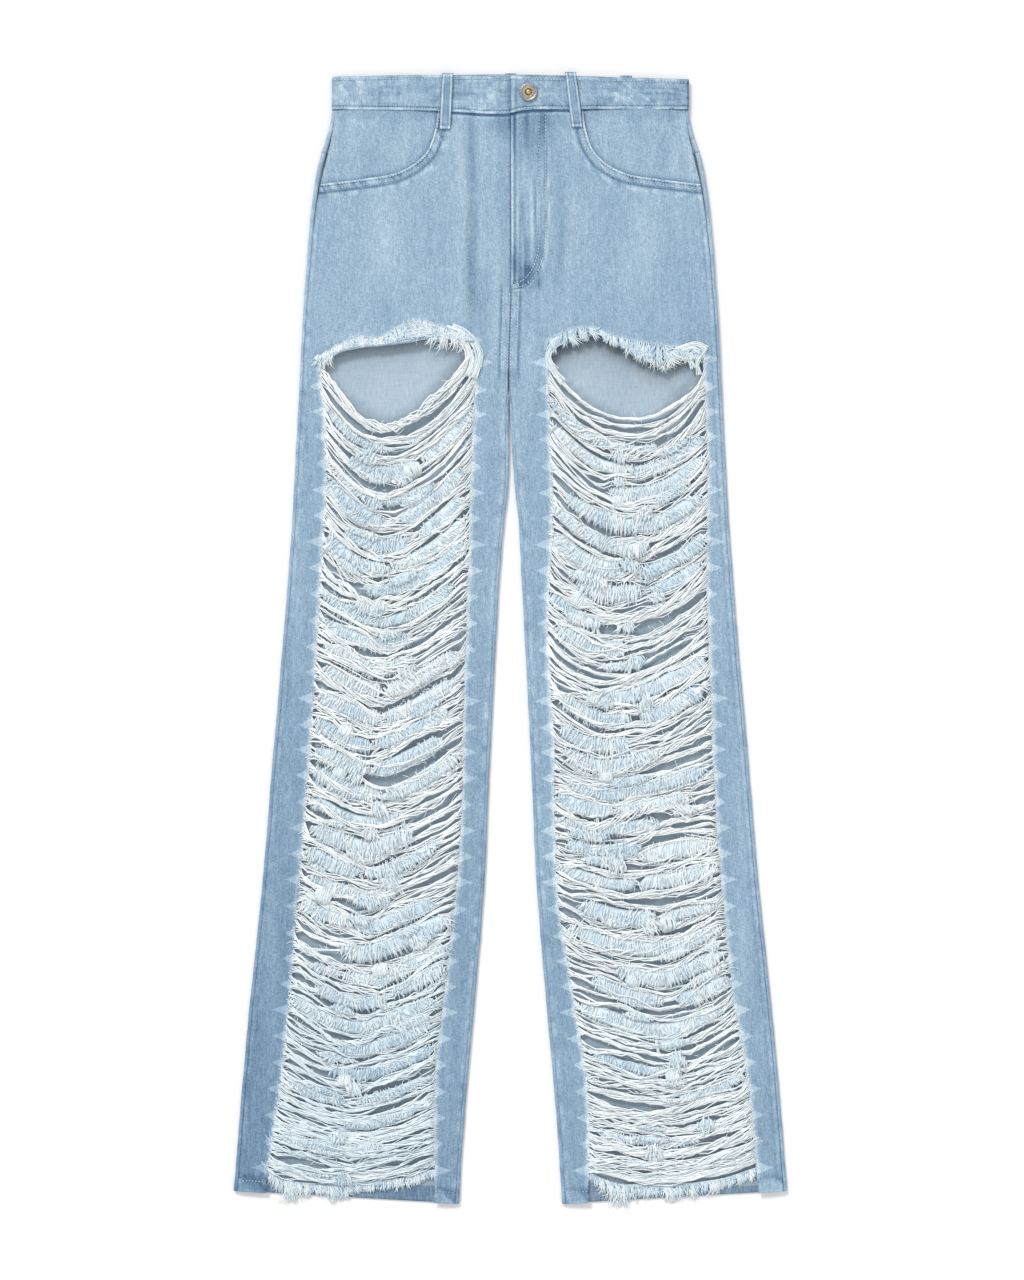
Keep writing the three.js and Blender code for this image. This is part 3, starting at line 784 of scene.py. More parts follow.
def front_details(leg, x, y, mouth_distance):
    """Height and wear that sewing and washing give the front panel, with painted shade and
    painted highlight that stand in for light at the waistband's edge, the pocket's band and the creases.
    """
    height = np.zeros_like(x)
    wear = np.zeros_like(x)
    # the double-stitched edge of the pocket mouth
    band = ease((MOUTH_BAND - mouth_distance) / 1.2)
    along = x * 0.9 + y * 0.7
    pucker = seam_puckers(along, 31, 3.6)
    rows = bump(mouth_distance, MOUTH_STITCH[0], 0.9) + bump(mouth_distance, MOUTH_STITCH[1], 0.9)
    height += band * (0.7 + 0.3 * pucker) - 0.35 * rows * band
    wear += band * (0.02 + 0.6 * pucker) + 0.75 * bump(mouth_distance, 0.3, 0.9)
    wear -= 0.5 * bump(mouth_distance, 2.4, 0.8) * (1 - 0.6 * pucker)
    # painted shade: a dark line just beyond the band's edge, where the raised band steps down
    wear -= 0.75 * bump(mouth_distance, MOUTH_BAND + 0.9, 1.2) + 0.4 * rows
    halo = bump(mouth_distance, MOUTH_BAND + 4.5, 2.6)
    wear += halo * (0.15 + 0.5 * soft_noise(x, y, 5, 32, 1.5))
    # the centre seam, and the fly with its folded edge on the wearer's left
    from_centre = np.abs(x - centre_line(y))
    above_crotch = ease((y - CROTCH + 12) / 12)
    below_fly = above_crotch * ease((FLY_END + 6 - y) / 8)
    seam_wave = seam_puckers(y, 41, 6.5)
    height += below_fly * bump(from_centre, 4.0, 4.4) * (0.6 + 0.3 * seam_wave)
    height -= below_fly * 0.45 * (bump(from_centre, 1.2, 0.9) + bump(from_centre, 7.2, 0.9))
    wear += below_fly * bump(from_centre, 4.2, 2.4) * (0.06 + 0.34 * seam_wave)
    wear -= below_fly * 0.55 * (bump(from_centre, 0.5, 1.1) + bump(from_centre, 9.2, 1.2))
    if leg.sign > 0:
        fly_details(x, y, from_centre, height, wear)
    else:
        fly = ease((y - FLY_END + 2) / 8)
        wear -= fly * (0.7 * bump(from_centre, 0.6, 1.1) + 0.10 * bump(from_centre, 5, 5))
        wear -= fly * 0.35 * ease((y - 478) / 30) * ease((30 - from_centre) / 24)
        wear += fly * 0.22 * bump(from_centre, 14, 5) * soft_noise(x, y, 4, 52, 9)
    # the side and inner leg seams
    from_side = np.abs(x - leg.outer_seam(y))
    side_wave = seam_puckers(y, 61 + leg.sign, 9.0)
    ridge = 0.16 if leg.sign > 0 else 0.04
    wear += bump(from_side, 2.4, 2.0) * (ridge + 0.3 * side_wave) - 0.5 * bump(from_side, 0, 0.9)
    wear -= (ridge + 0.06) * bump(from_side, 5.6, 1.1)
    height += seam_height(from_side, side_wave)
    from_inside = np.abs(x - leg.inner_seam(y))
    inner_wave = seam_puckers(y, 71 + leg.sign, 8.0)
    pale = bump(from_inside, 2.4, 2.8) * (0.14 + 0.38 * inner_wave)
    wear += inner_wrap(y) * (pale - 0.35 * bump(from_inside, 0, 0.8))
    height += inner_wrap(y) * seam_height(from_inside, inner_wave)
    # the turned hem
    from_hem = y - hem_level(np.abs(x))
    hem = ease((HEM_DEPTH + 1 - from_hem) / 1.5)
    roping = soft_noise(x + from_hem * 0.9, from_hem * 0, 6.5, 81)
    height += hem * (0.9 + 0.35 * roping) - 0.4 * bump(from_hem, HEM_DEPTH - 1.5, 1.0)
    wear += hem * (0.35 * roping - 0.12) + 0.35 * bump(from_hem, 0.6, 1.3)
    wear -= 0.35 * bump(from_hem, HEM_DEPTH + 1.8, 1.6) + 0.35 * bump(from_hem, HEM_DEPTH - 1.5, 1.0)
    # painted shade just under the waistband's edge, for the shadow the band would cast, and a
    # pale line below it; painted highlight on the ridges of the creases and painted shade in their deep
    # valleys
    under_band = band_low(x) - y
    wear -= 1.5 * bump(under_band, 0.9, 1.1) + 0.10 * bump(under_band, 9.0, 8.0)
    wear += 0.25 * bump(under_band, 3.4, 1.4)
    wear += 0.17 * crease_height(x, y)
    wear -= 0.055 if leg.sign > 0 else 0.02
    return height, wear


def fly_details(x, y, from_centre, height, wear):
    """Adds the raised, streaked fly to the height and wear of the wearer's left front."""
    fly = ease((y - FLY_END + 4) / 10)
    near = (x < 60) & (y > FLY_END - 12)
    to_row, to_second = np.full((2, *x.shape), FAR)
    to_row[near] = distance_to(fly_path(0.0, 160), x[near], y[near])
    to_second[near] = distance_to(fly_path(FLY_ROWS, 160), x[near], y[near])
    foot = ease((FLY_END + 62 - y) / 45) * fly
    inside = fly * ease((31 - from_centre) / 4) * ease((from_centre - 3) / 4)
    height += fly * 1.0 * ease((38 - from_centre) / 5) * (1 - 0.5 * foot)
    sewn = bump(to_row, 0, 0.9) + bump(to_second, 0, 0.9)
    height -= 0.4 * sewn
    wear -= 0.55 * sewn
    wear += 0.45 * bump(to_row, 2.2, 1.3) * (1 + 0.8 * soft_noise(x, y, 4, 54, 3)) * (to_second > FLY_ROWS)
    wear += fly * 0.9 * bump(from_centre, 0.6, 1.3) - fly * 0.5 * bump(from_centre, 3.4, 1.3)
    wear += fly * 0.4 * bump(from_centre, 6.0, 1.4)
    streaks = soft_noise(x, y, 3.0, 51, 14) + 0.5 * soft_noise(x, y, 1.8, 53, 20)
    wear += inside * (0.42 * streaks + 0.05)
    height += inside * 0.30 * streaks
    wear -= 0.62 * fly * ease((y - 452) / 46) * ease((44 - from_centre) / 16)
    wear -= 0.85 * foot * ease((32 - from_centre) / 6) * (0.75 + 0.5 * soft_noise(x, y, 9, 55))


def ladder_row(y, inner):
    """Number of the ladder row at level y, whose middle is at a half."""
    return (y + 1000) / PITCH + np.where(inner, 0.12, 0.0)


def front_panel(leg):
    outer_columns = spaced([(8, 1.4), (18, 2.6)])
    across_columns = spaced([(150, 2.6)])
    inner_columns = spaced([(18, 2.2), (20, 1.0)])
    # 0..1 outer strip, 1..2 across the window, 2..3 inner strip
    part = np.concatenate([outer_columns, 1 + across_columns[1:], 2 + inner_columns[1:]])
    columns = len(part)
    window_share = np.clip(part - 1, 0, 1)
    cut = leg.cut_edge(window_share)

    def share_at(y):
        side = leg.outer_seam(y)
        inside = leg.inner_seam(y)
        start = (leg.sign * leg.window_out(y) - side) / (inside - side)
        stop = (leg.sign * leg.window_in(y) - side) / (inside - side)
        outer = mix(0, start, np.clip(part, 0, 1))
        return outer + (stop - start) * window_share + (1 - stop) * np.clip(part - 2, 0, 1)

    low = share_at(cut)
    mouth = mouth_path(leg, 400)[::-1]
    waist_from = mouth[-1, 0]
    waist_to = float(leg.inner_seam(np.array(float(BAND_SIDE))))
    waist_x = np.linspace(waist_from, waist_to, 200)
    waist = np.stack([waist_x, band_low(waist_x) + 0.5], -1)
    top_path = np.concatenate([mouth, waist[1:]])
    top_at = path_lengths(top_path)
    wanted = mix(low, np.arange(columns) / (columns - 1), 0.5) * top_at[-1]
    top_x, top_y = along_path(top_path, top_at, wanted).T
    top_side = leg.outer_seam(top_y)
    top_share = (top_x - top_side) / (leg.inner_seam(top_y) - top_side)

    hip = spaced([(16, 1.1), (225, 3.0)])[:, None]
    hip_y = mix(top_y[None], cut[None], hip)
    hip_share = mix(top_share[None], low[None], hip)
    leg_rows = spaced([(785, 4.4), (16, 1.4)])[1:, None]
    level = mix(cut[None], HEM_IN, leg_rows)
    leg_share = share_at(level)
    u = np.abs(mix(leg.outer_seam(level), leg.inner_seam(level), leg_share))
    leg_y = tilted_level(level, u)
    leg_share = share_at(leg_y)
    y = np.concatenate([hip_y, leg_y])
    share = np.concatenate([hip_share, leg_share])
    x = mix(leg.outer_seam(y), leg.inner_seam(y), share)

    ragged = 0.7 * soft_noise(y, y * 0, 3.1, 91) + 0.8 * soft_noise(y, y * 0, 12, 92)
    on_out = ease(1 - np.abs(part - 1) * 4)[None] * (y < leg.cut_edge(0.0))
    on_in = ease(1 - np.abs(part - 2) * 4)[None] * (y < leg.cut_edge(1.0))
    x = x + leg.sign * ragged * (on_out - on_in)
    mouth_distance = distance_to(mouth_path(leg, 260), x, y)
    height, wear = front_details(leg, x, y, mouth_distance)
    z = front_z(leg, x, y) + height
    to_out = np.abs(x) - leg.window_out(y)
    to_in = leg.window_in(y) - np.abs(x)
    edge = np.maximum(to_out, to_in)
    above = np.maximum(y - leg.cut_edge(window_share)[None], 0)
    edge = np.where(above > 0, np.hypot(np.maximum(edge, 0), above), edge)
    from_hem = y - hem_level(np.abs(x))
    edge = edge + 7 * ease((HEM_DEPTH + 2 - from_hem) / 3)
    row = ladder_row(y, part > 1.5) + 0.05 * soft_noise(x * 0, y, 40, 93)
    row = np.where(above > 0, 0.0, row)
    thickness = DENIM + 0.5 * ease((2.5 - mouth_distance) / 2) + 0.5 * ease((HEM_DEPTH - from_hem) / 2)
    keep = np.ones((len(y) - 1, columns - 1), bool)
    across = (part[:-1] >= 1) & (part[1:] <= 2)
    keep[len(hip) - 1 :, across] = False
    grid = np.stack([x, y, z], -1)
    materials = [DENIM_FRONT, DENIM_INSIDE]
    piece = shell("jeans_front_" + leg.name, grid, thickness, materials, keep, wear=wear, edge=edge, row=row)
    return finished(piece, "denim", "front_" + leg.name)


# ---------------------------------------------------------------- back panels and yokes


FOLD_STEPS = 9


def folded_edge(curl):
    """Offsets (outwards, upwards) of cloth that curls up from the surface at a folded edge and
    ends just under the front panel's edge."""
    length = math.pi * ROLL
    bend = np.maximum(curl, 1e-3) / ROLL
    share = np.linspace(0, 1, FOLD_STEPS + 1)
    angle = share[None] * length * bend[:, None]
    out = np.sin(angle) / bend[:, None]
    up = (1 - np.cos(angle)) / bend[:, None]
    last = angle[:, -1:]
    inwards, dip = np.array(TUCK).T
    end_out = out[:, -1:] + inwards * np.cos(last)
    end_up = up[:, -1:] + inwards * np.sin(last) - dip * curl[:, None] ** 2
    return np.concatenate([out, end_out], 1), np.concatenate([up, np.maximum(end_up, 0)], 1)


def back_grid(leg, nominal, level, flat_columns):
    """Grid of back cloth. nominal holds one level per row and level(nominal, u) the real one."""
    middle = level(nominal, (outer_edge(nominal) + inner_edge(nominal)) / 2)
    curl = inner_wrap(middle)
    out_away, out_up = folded_edge(np.ones_like(middle))
    in_away, in_up = folded_edge(curl)
    out_start = outer_edge(middle) + leg.outer_wave(middle) - out_away.max(1) - DENIM / 2
    inner = leg.sign * centre_line(middle) + np.where(middle >= CROTCH, 0.05, inner_edge(middle))
    in_start = inner + leg.inner_wave(middle) + in_away.max(1) + curl * DENIM / 2
    flat = np.linspace(0, 1, flat_columns + 1)[1:-1]
    flat_u = mix(out_start[:, None], in_start[:, None], flat[None])
    u = np.concatenate([out_start[:, None] + out_away[:, ::-1], flat_u, in_start[:, None] - in_away], 1)
    rise = np.concatenate([out_up[:, ::-1], flat_u * 0, in_up], 1)
    y = level(nominal[:, None], u)
    on_flat = np.minimum(ease((out_start[:, None] - u) / 18), ease((u - in_start[:, None]) / 18))
    wrinkle = np.clip(0.35 * undulation(leg.sign * u, y) + 0.25, 0, 0.8) * on_flat
    z = DENIM / 2 + hip_lift(middle)[:, None] + rise + wrinkle
    folded = np.clip(rise / LAYERS, 0, 1)
    waves = seam_puckers(middle, 61 + leg.sign, 9.0)[:, None]
    wear = folded * (0.05 + 0.3 * waves)
    return np.stack([leg.sign * u, y, z], -1), wear


# strength of the painted shade on the back under each rip's torn edge, and under the yarns
RIP_SHADE = {"right": 0.68, "left": 1.3}
WEB_SHADE = 0.42


def yoke_seam(u):
    return mix(YOKE_LEVEL, 474, u / 187)


def window_shade(leg, u, y):
    """Painted shade on the back where it shows through the window, standing in for the shadow
    of what lies over it: most just under the torn edge of the rip, and a little under the yarns."""
    share = leg.window_share(u, y)
    inside = ease((share + 0.05) / 0.05) * ease((1.05 - share) / 0.05)
    share = np.clip(share, 0, 1)
    below = np.maximum(leg.rip_top(share) - y, 0)
    dusk = RIP_SHADE[leg.name] * (0.5 * np.exp(-below / 6) + 0.45 * np.exp(-below / 22))
    under = WEB_SHADE * ease((leg.web_top(share) + 4 - y) / 12)
    return inside * np.clip(np.maximum(dusk, under), 0, 1)


YOKE_LEVEL = 440  # of the yoke seam at the centre


def back_panel(leg):
    stretches = ((YOKE_LEVEL, CROTCH, 30), (254, -500, 116), (-503, HEM_IN, 18))
    nominal = np.concatenate([np.linspace(*stretch) for stretch in stretches])

    def level(rows, u):
        top = mix(CROTCH, yoke_seam(u), (rows - CROTCH) / (YOKE_LEVEL - CROTCH))
        return np.where(rows > CROTCH, top, tilted_level(rows, u))

    grid, wear = back_grid(leg, nominal, level, 24)
    from_hem = grid[..., 1] - hem_level(np.abs(grid[..., 0]))
    hem = ease((HEM_DEPTH + 1 - from_hem) / 1.5)
    roping = soft_noise(grid[..., 0] + from_hem, from_hem * 0, 6.5, 121)
    wear = wear + hem * 0.25 * roping + 0.25 * bump(from_hem, 0.8, 1.5)
    thickness = DENIM + 0.5 * hem
    grid[..., 2] += 0.25 * hem
    # painted shade where the back shows through the window
    shade = window_shade(leg, np.abs(grid[..., 0]), grid[..., 1])
    materials = [DENIM_PLAIN, DENIM_INSIDE]
    piece = shell("jeans_back_" + leg.name, grid, thickness, materials, outer=-1, wear=wear, shade=shade)
    return finished(piece, "denim_back", "back_" + leg.name)


def yoke(leg):
    nominal = np.linspace(0, 1, 24)

    def level(rows, u):
        return mix(yoke_seam(u) + 0.1, BAND_SIDE + 0.2, rows)

    middle = level(nominal, np.full_like(nominal, 120.0))

    def by_middle(levels, u):
        rows = (levels - middle[0]) / (middle[-1] - middle[0])
        return level(rows, u)

    grid, wear = back_grid(leg, middle, by_middle, 30)
    materials = [DENIM_PLAIN, DENIM_INSIDE]
    piece = shell("jeans_yoke_" + leg.name, grid, DENIM, materials, outer=-1, wear=wear)
    return finished(piece, "denim_back", "yoke_" + leg.name)


def back_pocket(leg):
    """A patch pocket under the back: pentagon, slightly thicker along its sewn edge."""
    rows, columns = 26, 24
    down = np.linspace(0, 1, rows + 1)[:, None]
    across = np.linspace(-1, 1, columns + 1)[None]
    half = mix(69, 59, down)
    foot = mix(150, 128, np.abs(across))
    x = leg.sign * 94 + across * half
    y = POCKET_TOP - down * foot
    rim = np.minimum(np.minimum((1 - np.abs(across)) * half, down * foot), (1 - down) * foot)
    z = DENIM / 2 + 0.02 + 0.12 * ease(rim / 4) + 0 * x
    wear = 0.3 * bump(rim, 1.0, 1.5) + 0.2 * seam_puckers(x + y, 131, 6) * ease((8 - rim) / 3)
    grid = np.stack([x, np.broadcast_to(y, x.shape), z], -1)
    piece = shell("jeans_pocket_" + leg.name, grid, DENIM - 0.1, [DENIM_PLAIN], wear=wear)
    return finished(piece, "denim_back", "back_pocket_" + leg.name)


# ---------------------------------------------------------------- pocket facings and fly facing

FACING_TUCK = 16
FACING_DROP = DENIM + 0.3


def pocket_facing(leg):
    mouth = mouth_path(leg, 61)
    tangent = unit(np.gradient(mouth, axis=0))
    share = np.linspace(0, 1, 61)[:, None]
    square = leg.sign * np.stack([tangent[:, 1], -tangent[:, 0]], -1)
    under = mouth + square * FACING_TUCK * (1 - 0.7 * share)
    corner = np.array([float(leg.outer_seam(np.array(514.0))), BAND_SIDE + 2.0])
    first = mouth[0] + (corner - mouth[0]) * np.clip(0.08 + share / 0.5 * 0.92, 0, 1)
    second = corner + (mouth[-1] - corner) * np.clip((share - 0.5) / 0.5, 0, 1)
    away = np.where(share <= 0.5, first, second)
    outwards = np.concatenate([np.linspace(-1, 0, 6), np.linspace(0, 1, 38)[1:]])[:, None, None]
    points = np.where(outwards < 0, mouth + (under - mouth) * -outwards, mouth + (away - mouth) * outwards)
    x = points[..., 0]
    y = np.minimum(points[..., 1], band_low(points[..., 0]) + 0.9)
    x = leg.sign * np.minimum(np.abs(x), np.abs(leg.outer_seam(y)))
    from_mouth = distance_to(mouth_path(leg, 260), x, y) * (outwards[..., 0] > 0)
    wave = seam_puckers(x + y, 141, 6)
    rise = ease((from_mouth - 6) / 24)
    z = front_z(leg, x, y) - FACING_DROP * (1 - rise) + 0.25 * rise * wave * bump(from_mouth, 10, 8)
    near_side = np.abs(x - leg.outer_seam(y))
    wear = -0.42 * bump(from_mouth, 0, 3.2) + 0.1 * bump(near_side, 2, 4)
    wear = wear + 0.10 * soft_noise(x, y, 6, 142, 6) - 0.15 * ease((y - 500) / 12)
    wear = wear + 0.16 * bump(y, 503, 3) * soft_noise(x, y, 5, 143)
    grid = np.stack([x, y, z], -1)
    materials = [DENIM_PLAIN, DENIM_INSIDE]
    piece = shell("jeans_pocket_facing_" + leg.name, grid, DENIM, materials, wear=wear)
    return finished(piece, "denim", "pocket_facing_" + leg.name)


def fly_facing(leg):
    down = np.linspace(0, 1, 60)[:, None]
    across = np.linspace(-0.03, 1, 14)[None]
    y = mix(BAND_SIDE - 5, FLY_END, down) + 0 * across
    width = profile([(0, 34), (0.68, 34), (0.86, 27), (1, 9.5)])(down)
    x = leg.inner_seam(y) + width * across
    z = front_z(leg, x, y) - FACING_DROP
    grid = np.stack([x, y, z], -1)
    wear = -0.3 * np.ones_like(x)
    piece = shell("jeans_fly_facing", grid, DENIM, [DENIM_PLAIN], wear=wear)
    return finished(piece, "denim", "fly_facing")


# ---------------------------------------------------------------- waistband, loops and button

BAND_FLOOR = HIP_LIFT + 0.3
BAND_RISE = 3.3
BAND_HALF = 173
BAND_STITCH = 3.2  # from the band's edges to its stitch grooves
OVERLAP_X = 0.5
UNDERLAP_X = 26


def band_front_z(x, overlap):
    base = BAND_FLOOR + BAND / 2 + BAND_RISE
    under = base - 0.5 * ease((x + 14) / 14)
    return np.where(overlap, base + 2.0 * ease((52 - x) / 26), under)


def waistband():
    radius = BAND_RISE / 2
    side = BAND_HALF - BAND / 2 - radius
    low = BAND_FLOOR + BAND / 2
    turn = np.linspace(0, 1, 9)[1:-1]
    left = np.arange(UNDERLAP_X, -side, -2.4)
    back = np.arange(-side, side, 7.0)
    right = np.arange(side, OVERLAP_X - 1, -2.2)
    right[-1] = OVERLAP_X
    bulge = side + radius * np.sin(turn * np.pi)
    x = np.concatenate([left, -bulge, back, bulge, right])
    z = np.concatenate(
        [
            band_front_z(left, False),
            low + radius * (1 + np.cos(turn * np.pi)),
            np.full(len(back), low),
            low + radius * (1 - np.cos(turn * np.pi)),
            band_front_z(right, True),
        ]
    )
    front = np.concatenate([left * 0 + 1, 1 - turn, back * 0, turn, right * 0 + 1])
    overlap = np.concatenate([np.zeros(len(x) - len(right)), np.ones(len(right))])
    up = spaced([(5, 0.6), (24, 1.4), (5, 0.6)])[:, None]
    bottom = mix(BAND_SIDE, band_low(x), front)
    top = mix(back_high(x), band_high(x), front)
    y = mix(bottom[None], top[None], up) + 0.12 * soft_noise(x[None], up * 0, 17, 151) * (2 * up - 1)
    xx = np.broadcast_to(x, y.shape)
    from_low = y - bottom
    from_top = top - y
    rim = np.minimum(from_low, from_top)
    roping = soft_noise(xx + 0.8 * from_low, from_low * 0, 7.5, 152)
    grooves = bump(from_top, BAND_STITCH, 0.9) + bump(from_low, BAND_STITCH, 0.9)
    waves = 0.55 * soft_noise(xx, y, 15, 153, 1.4) + 0.3 * soft_noise(xx, y, 6, 154, 1.6)
    end = np.abs(xx - OVERLAP_X) + (1 - overlap[None]) * FAR
    zz = z[None] + front * (waves * ease(rim / 3) + 0.25 * roping * ease((7 - rim) / 4) - 0.35 * grooves)
    zz = zz + 0.5 * overlap[None] * ease((3 - end) / 2)
    # crossing pale wisps in patches
    wisps = bump(soft_noise(xx + 0.9 * y, y, 9, 155, 2.4), 0.05, 0.12)
    wisps = wisps + bump(soft_noise(xx - 0.8 * y, y, 7, 156, 2.2), 0.1, 0.11)
    patchy = ease(0.5 + 1.2 * soft_noise(xx, y, 26, 157))
    wear = -0.02 - 0.16 * (xx > 0) + 0.36 * wisps * patchy + 0.14 * soft_noise(xx, y, 9, 158, 1.2)
    # pale ropy edges with dark rims and stitch grooves; the dark lower rim is painted shade
    # where the band stands over the front
    wear = wear + 0.30 * roping * ease((5 - rim) / 3) - 0.4 * grooves
    wear = wear + 0.34 * bump(from_top, 1.1, 0.9) - 0.6 * bump(from_top, 0, 0.6)
    wear = wear + 0.50 * bump(from_low, 1.5, 0.9) - 1.1 * bump(from_low, 0, 0.7)
    wear = wear - 0.3 * bump(from_low, 3.6, 1.0)
    # dark lines along the band, the worn end of the overlap and the shade under it
    lines = bump(soft_noise(xx, y, 30, 159, 0.12), 0.0, 0.2) * ease(0.4 + soft_noise(xx, y * 0, 24, 160))
    under = (1 - overlap[None]) * front * ease((xx + 7) / 8)
    wear = wear - 0.30 * lines + 0.75 * bump(end, 1.4, 1.3) - 0.45 * bump(end, 4.2, 1.3) - 0.5 * under
    thickness = BAND - 0.8 * (1 - ease(rim / 1.3))
    grid = np.stack([xx, y, zz], -1)
    return finished(shell("jeans_waistband", grid, thickness, [DENIM_BAND], wear=wear), "denim", "waistband")


LOOP_WIDTH = 10.5
LOOP_LENGTH = 54
FRONT_LOOPS = {"right": (-60.6, 549, -63.3, 494.7), "left": (58, 550, 64.7, 496.6)}
BACK_LOOPS = {"right": (-112, 548, -112, 495), "centre": (0, 550, 0, 495), "left": (112, 548, 112, 495)}


def loop_strip(name, node, place, height_at, slot):
    """A folded strip with rounded long edges and flattened sewn ends."""
    top_x, top_y, foot_x, foot_y = place
    down = spaced([(4, 0.8), (46, 1.5), (4, 0.8)])[:, None]
    across = np.linspace(-1, 1, 25)[None]
    x = mix(top_x, foot_x, down) + across * LOOP_WIDTH / 2
    x = x + 0.25 * soft_noise(down * LOOP_LENGTH, down * 0, 6, 161) * np.sign(across)
    y = mix(top_y, foot_y, down) + 0 * across
    crown = 0.35 * (1 - across**4)
    edge_rope = 0.45 * bump(np.abs(across), 0.74, 0.14)
    ends = np.minimum(down, 1 - down) * LOOP_LENGTH
    z = height_at(down) + crown + edge_rope + 0.18 * soft_noise(x, y, 4, 162) - 0.4 * bump(ends, 3.2, 1.0)
    side = np.abs(across)
    # pale raised ridges and dark stitch lines; the dark outer edges and the dark rims at the ends are painted
    # shade where the loop's sides and ends turn down
    wear = 0.60 * bump(side, 0.74, 0.14) - 1.0 * bump(side, 1.0, 0.13) - 0.45 * bump(side, 0.48, 0.12)
    wear = wear + 0.22 * soft_noise(x, y, 4.5, 163, 2) - 0.12
    wear = wear + 0.42 * bump(ends, 2.0, 1.2) - 0.8 * bump(ends, 0, 0.8) - 0.35 * bump(ends, 4.6, 1.0)
    thickness = LOOP - 0.5 * ease((side - 0.8) / 0.2)
    grid = np.stack([x, y, z], -1)
    return finished(shell(name, grid, thickness, [DENIM_TRIM], wear=wear), slot, node)


def front_loop(leg):
    place = FRONT_LOOPS[leg.name]
    on_band = float(band_front_z(np.array(place[0]), leg.sign > 0)) + BAND / 2 + LOOP / 2
    on_panel = float(front_z(leg, np.array(place[2]), np.array(place[3]))) + DENIM / 2 + LOOP / 2
    foot = max(on_panel, on_band - 0.4) - on_band + 0.2
    rises = [(0, -0.1), (0.08, 0.5), (0.35, 1.3), (0.62, 0.9), (0.75, 0.6), (1, foot)]
    heights = profile([(share, on_band + rise) for share, rise in rises])
    return loop_strip("jeans_loop_front_" + leg.name, "belt_loop_front_" + leg.name, place, heights, "denim")


def back_loop(name):
    place = BACK_LOOPS[name]
    flat = profile([(0, LOOP / 2), (1, LOOP / 2)])
    return loop_strip("jeans_loop_back_" + name, "belt_loop_back_" + name, place, flat, "denim_back")


BUTTON = {"x": 17.5, "y": 530.5, "radius": 8.7}
BEAD_RINGS = ((6.1, 26), (4.9, 20))  # (radius, number of beads)


def lathe(name, outline, x, y, z, material, segments):
    """A ring-shaped or solid turned body from its closed (radius, height) outline."""
    outline = np.asarray(outline, float)
    angles = 2 * np.pi * np.arange(segments) / segments
    ring = np.stack([np.cos(angles), np.sin(angles)], -1)
    heights = np.broadcast_to(outline[:, None, 1:], (len(outline), segments, 1))
    points = np.concatenate([outline[:, None, :1] * ring[None], heights], -1)
    vertices = points.reshape(-1, 3) + [x, y, z]
    a = np.arange(len(outline) * segments).reshape(len(outline), segments)
    b = np.roll(a, -1, axis=0)
    faces = np.stack([a, np.roll(a, -1, 1), np.roll(b, -1, 1), b], -1).reshape(-1, 4)
    return make_object(name, vertices, [faces], [material])


def button():
    """A nickel ring with a beaded band, worn flat on one side, and a brass tack head in it."""
    steel = metal("worn_nickel", linear(180, 177, 169), 0.34, 0.0001)
    brass = metal("brass", linear(222, 178, 98), 0.3, 0.00003)
    x, y, radius = BUTTON["x"], BUTTON["y"], BUTTON["radius"]
    seat = float(band_front_z(np.array(x), True)) + BAND / 2 + 0.7
    # (distance in from the edge, height) round the rim, then (radius, height) of the middle
    rim = [(0.9, 0.0), (0.2, 0.35), (0, 0.9), (0.1, 1.5), (0.5, 1.9)]
    rim += [(1.1, 2.0), (1.7, 1.85), (2.1, 1.45), (2.6, 1.3)]
    well = [(5.0, 1.35), (4.3, 1.5), (3.7, 1.55), (3.35, 1.3), (3.2, 0.7)]
    outline = [(3.3, 0.1)] + [(radius - inwards, height) for inwards, height in rim] + well
    cap = finished(lathe("jeans_button", outline, x, y, seat, steel, 72), "steel", "button_cap")
    head = [(0.02, 0.0), (2.6, 0.0), (2.65, 0.9), (2.4, 1.35), (1.7, 1.75), (0.9, 1.95), (0.02, 2.0)]
    tack = finished(lathe("jeans_button_tack", head, x, y, seat, brass, 48), "brass", "button_rivet")
    rng = np.random.default_rng(7)
    beads = []
    for ring_radius, count in BEAD_RINGS:
        angle = 2 * np.pi * (np.arange(count) + rng.uniform(-0.15, 0.15, count)) / count
        outwards = np.stack([np.cos(angle), np.sin(angle), angle * 0], -1)
        centre = np.array([x, y, seat + 1.35]) + ring_radius * outwards
        length = np.array([-0.42, -0.25, 0.25, 0.42])
        direction = np.stack([-np.sin(angle), np.cos(angle), angle * 0], -1)
        paths = centre[:, None] + direction[:, None] * length[None, :, None]
        width = np.array([0.25, 0.75, 0.75, 0.25])
        height = np.array([0.2, 0.5, 0.5, 0.2])
        beads.append(tube_part(paths, width, 1.0, height, 6))
    return [cap, tack, joined_piece("jeans_button_beads", beads, steel, "steel")]


# ---------------------------------------------------------------- stitches


STITCH_PITCH = 3.1
STITCH_LENGTH = 2.3
STITCH_WIDTH = 0.75
THREAD_LIFT = 0.1


def stitches_on(path, seed, tone):
    """Thread stitches that lie along a path of points."""
    rng = np.random.default_rng(seed)
    at = path_lengths(path)
    middles = np.arange(STITCH_PITCH / 2, at[-1], STITCH_PITCH)
    middles = middles + rng.uniform(-0.2, 0.2, len(middles))
    offsets = np.array([-0.5, -0.32, 0.0, 0.32, 0.5]) * STITCH_LENGTH
    paths = along_path(path, at, middles[:, None] + offsets[None])
    paths[..., 2] += np.array([-0.35, 0.12, 0.24, 0.12, -0.35])
    size = np.array([0.35, 0.9, 1.0, 0.9, 0.35]) * STITCH_WIDTH
    tones = tone + rng.uniform(-0.15, 0.15, len(middles))
    return tube_part(paths, size, tones, size * 0.7, 3)


def on_front(leg, plan):
    """A plan path laid on the upper face of the front panel."""
    x, y = plan.T
    height, _ = front_details(leg, x, y, distance_to(mouth_path(leg, 200), x, y))
    return np.column_stack([plan, front_z(leg, x, y) + height + DENIM / 2 + THREAD_LIFT])


